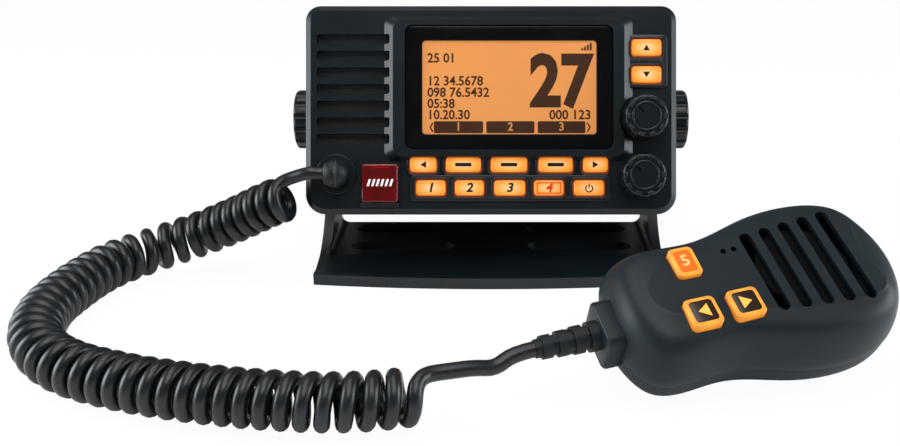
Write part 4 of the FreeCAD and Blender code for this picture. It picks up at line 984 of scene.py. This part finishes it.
class RADIO_OT_knob_trim(bpy.types.Operator):
    """Gives the two rotary knobs their grip lugs and the bright ring round their caps"""
    bl_idname = "radio.knob_trim"
    bl_label = "Knob trim"

    def execute(self, context):
        rubber = moulded("lug_rubber", shade(colours().casing, 1.3), (0.3, 0.4), 2800.0, 0.12)
        ring_finish = moulded("ring_plastic", shade(colours().casing, 2.2), (0.12, 0.2), 2800.0, 0.05)
        lug_count, lug_at, lug_long, lug_half = 10, 8.0, 1.6, 1.25
        ring_outer, ring_inner = 6.2, 5.45
        for name in ("volume_knob", "squelch_knob"):
            left, right, low, high, front = face_of(name)
            cx, cz = (left + right) / 2, (low + high) / 2
            lugs = []
            for index in range(lug_count):
                angle = math.radians(index * 360 / lug_count)
                turn = Matrix.Translation((cx * MM, cz * MM, 0)) @ Matrix.Rotation(angle, 4, "Z")
                loop = rounded_loop(lug_at - lug_long / 2, lug_at + lug_long / 2, -lug_half, lug_half, 0.5)
                lugs.append(flat_piece("lug", [loop], front - 1.2, front + 0.25, RADIO_FACE @ turn, 0.2))
            finish(joined(name + "_lugs", lugs), rubber, name)
            rings = [round_loop(cx, cz, ring_outer), round_loop(cx, cz, ring_inner)]
            ring = flat_piece(name + "_ring", rings, front - 0.9, front + 0.1, RADIO_FACE, 0.2)
            finish(ring, ring_finish, name)
        return {"FINISHED"}


# Ribs of the outlet's boot: where each lies across the panel, and its radius
OUTLET_RIBS = ((-65.4, 6.1), (-67.0, 5.75), (-68.6, 5.2), (-70.1, 4.6))


class RADIO_OT_outlet_ribs(bpy.types.Operator):
    """Rings the elbow boot that the curly cord leaves the panel by"""
    bl_idname = "radio.outlet_ribs"
    bl_label = "Outlet ribs"

    def execute(self, context):
        low, high = local_box("radio_cord_boot", RADIO)
        middle_z = (low[2] + high[2]) / 2
        axis_y = low[1] + (high[2] - low[2]) / 2
        sink, thickness = 0.3, 0.62
        ribs = []
        for place, radius in OUTLET_RIBS:
            clear_selection()
            bpy.ops.mesh.primitive_torus_add(
                location=(place, axis_y, middle_z), rotation=(0, math.radians(90), 0),
                major_radius=radius - sink, minor_radius=thickness, major_segments=40, minor_segments=10)
            ribs.append(settle(bpy.context.active_object, RADIO))
        whole = joined("outlet_ribs", ribs)
        tidy_mesh(whole, 60)
        finish(whole, moulded("rib_rubber", colours().cord, (0.4, 0.5)), "radio")
        return {"FINISHED"}


# Microphone
MIC_KEYS = {"mic_key_left": "left", "mic_key_right": "right", "mic_key_call": ""}


class RADIO_OT_microphone(bpy.types.Operator):
    """Gives the microphone's keys their faces and marks, and makes its lever and its collar"""
    bl_idname = "radio.microphone"
    bl_label = "Microphone"

    def execute(self, context):
        turn = tuple(MIC_TURN.to_euler())
        pale, deep = (0.80, 0.40, 0.12), (0.78, 0.26, 0.02)
        dark = moulded("mic_key_face", (0.022, 0.009, 0.004), (0.2, 0.3), 2600.0, 0.05)
        amber = printed("mic_arrow_ink", (0.8, 0.36, 0.06), 0.7)
        hot = printed("mic_call_face", (0.8, 0.1, 0.003), 0.6)
        border, corner, reach, glow_strength = 1.5, 1.3, 0.62, 0.6
        arrow_size, figure_size, figure_weight = (4.0, 5.2), 6.4, 0.14
        for name, way in MIC_KEYS.items():
            low, high = local_box(name, MIC)
            cx, cy, top = (low[0] + high[0]) / 2, (low[1] + high[1]) / 2, high[2]
            centre = MIC @ (Vector((cx, cy, top)) * MM)
            half = Vector((high[0] - low[0], high[1] - low[1], 14.0)) * MM * reach
            dress(name, glow_round(name + "_glow", centre, half, pale, deep, glow_strength, turn))
            loop = grown((low[0], high[0], low[1], high[1]), -border, corner)
            face = flat_piece(name + "_face", [loop], top - 0.1, top + 0.12, MIC, 0.06)
            finish(face, dark if way else hot, name)
            base, crest = top + 0.125, top + 0.18
            if way:
                mark = flat_piece(name + "_mark", [arrow(cx, cy, *arrow_size, way)], base, crest, MIC)
                finish(mark, amber, name)
            else:
                mark = lettering(name + "_mark", "5", figure_size, (cx, cy), base, crest, MIC,
                                 1.0, figure_weight)
                finish(mark, printed("mic_call_ink", (0.8, 0.4, 0.14), 0.5), name)
        self.lever()
        self.collar()
        return {"FINISHED"}

    def lever(self):
        """The push-to-talk lever, lying nearly flush in the waist of the shell's far side."""
        low, high = local_box("mic_ptt", MIC)
        depth_in_shell, proud, corner, bevel = 4.5, 1.2, 2.2, 0.6
        end_gap, root_gap, side_gap = 0.5, 0.3, 0.2
        near, far = low[1] + root_gap, low[1] + depth_in_shell + proud
        loop = rounded_loop(low[0] + end_gap, high[0] - end_gap, near, far, corner)
        lever = flat_piece("ptt_lever", [loop], low[2] + side_gap, high[2] - side_gap, MIC, bevel)
        rubber = moulded("lever_rubber", shade(colours().casing, 0.9), (0.45, 0.6), 2200.0, 0.25)
        finish(lever, rubber, "mic_ptt")
        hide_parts("mic_ptt")

    def collar(self):
        """The squared collar that the cord's boot comes out of, drawn across the cord's line."""
        low, high = local_box("mic_cord_block", MIC)
        trim, corner = 2.0, 4.0
        loop = rounded_loop(-high[2] + trim * 0.8, -low[2] - 0.4, low[1] + trim, high[1] - trim, corner)
        across = MIC @ Matrix.Rotation(math.radians(90), 4, "Y")
        collar = flat_piece("mic_collar", [loop], low[0], high[0], across, 1.2)
        plastic = moulded("collar_plastic", colours().microphone, (0.38, 0.5), 1500.0, 0.3, 0.18, 0.22)
        finish(collar, plastic, "microphone")
        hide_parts("mic_cord_block")


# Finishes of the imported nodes
class RADIO_OT_finishes(bpy.types.Operator):
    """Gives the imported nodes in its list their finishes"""
    bl_idname = "radio.finishes"
    bl_label = "Finishes"

    def execute(self, context):
        casing = colours().casing
        panel = moulded("panel_plastic", casing, (0.28, 0.38), 2400.0, 0.16, 0.2, 0.27)
        bracket = moulded("bracket_plastic", casing, (0.3, 0.42), 1800.0, 0.16, 0.25, 0.38)
        rubber = moulded("soft_rubber", shade(casing, 0.8), (0.45, 0.6), 2200.0, 0.25, 0.2, 0.3)
        knob = moulded("knob_plastic", shade(casing, 0.7), (0.26, 0.36), 2800.0, 0.15, 0.2, 0.3)
        cast = moulded("cast_housing", shade(casing, 0.8), (0.42, 0.58), 900.0, 0.5, 0.3, 0.3)
        microphone = moulded("mic_plastic", colours().microphone, (0.38, 0.5), 1500.0, 0.3, 0.18, 0.22)
        board = moulded("circuit_board", (0.03, 0.16, 0.07), (0.35, 0.5), 600.0, 0.2)
        steel = metal("steel", (0.6, 0.6, 0.61))
        brass = metal("brass", (0.7, 0.5, 0.2))
        nickel = metal("nickel", (0.7, 0.69, 0.66), (0.15, 0.25))
        cloth = woven("speaker_cloth", (0.006, 0.0065, 0.0075))
        cone = moulded("speaker_driver", (0.0015, 0.0015, 0.002), (0.7, 0.85), 900.0, 0.3, 0.2, 0.1)
        finishes = (
            (panel, "front_panel mic_cord_gland"),
            (bracket, "bracket"),
            (rubber, "radio_cord_boot keypad_membrane case_gasket rear_cable_gland pivot_washers"),
            (rubber, "mic_cord_boot mic_ptt"),
            (knob, "volume_knob squelch_knob clamp_knob_left clamp_knob_right"),
            (cast, "rear_chassis"),
            (microphone, "mic_front_shell mic_back_shell mic_cord_block"),
            (board, "front_board main_board mic_board lcd_module"),
            (steel, "case_screws cover_hinge_pin rotary_encoders mic_screws mic_element"),
            (brass, "pivot_inserts"),
            (nickel, "antenna_socket mic_hanger_stud"),
            (cloth, "speaker_cloth"),
            (cone, "speaker mic_speaker"),
        )
        for material, names in finishes:
            for name in names.split():
                dress(name, material)
        return {"FINISHED"}


class RADIO_PT_panel(bpy.types.Panel):
    """Lists the radio's pieces in the sidebar"""
    bl_label = "Marine radio"
    bl_idname = "RADIO_PT_panel"
    bl_space_type = "VIEW_3D"
    bl_region_type = "UI"
    bl_category = "Radio"

    def draw(self, context):
        for operator in OPERATORS:
            self.layout.operator(operator.bl_idname)
        for group in (context.scene.radio_sizes, context.scene.radio_colours):
            for key in group.__annotations__:
                self.layout.prop(group, key)


OPERATORS = (RADIO_OT_stage, RADIO_OT_cord, RADIO_OT_finishes, RADIO_OT_display, RADIO_OT_front_keys,
             RADIO_OT_distress, RADIO_OT_knob_trim, RADIO_OT_outlet_ribs, RADIO_OT_microphone)
CLASSES = (RadioSizes, RadioColours) + OPERATORS + (RADIO_PT_panel,)


def register():
    for item in CLASSES:
        bpy.utils.register_class(item)
    bpy.types.Scene.radio_sizes = bpy.props.PointerProperty(type=RadioSizes)
    bpy.types.Scene.radio_colours = bpy.props.PointerProperty(type=RadioColours)


def unregister():
    del bpy.types.Scene.radio_sizes
    del bpy.types.Scene.radio_colours
    for item in reversed(CLASSES):
        bpy.utils.unregister_class(item)


def main():
    register()
    bpy.ops.radio.stage()
    bpy.ops.radio.cord()
    bpy.ops.radio.finishes()
    bpy.ops.radio.display()
    bpy.ops.radio.front_keys()
    bpy.ops.radio.distress()
    bpy.ops.radio.knob_trim()
    bpy.ops.radio.outlet_ribs()
    bpy.ops.radio.microphone()


if __name__ == "__main__":
    main()
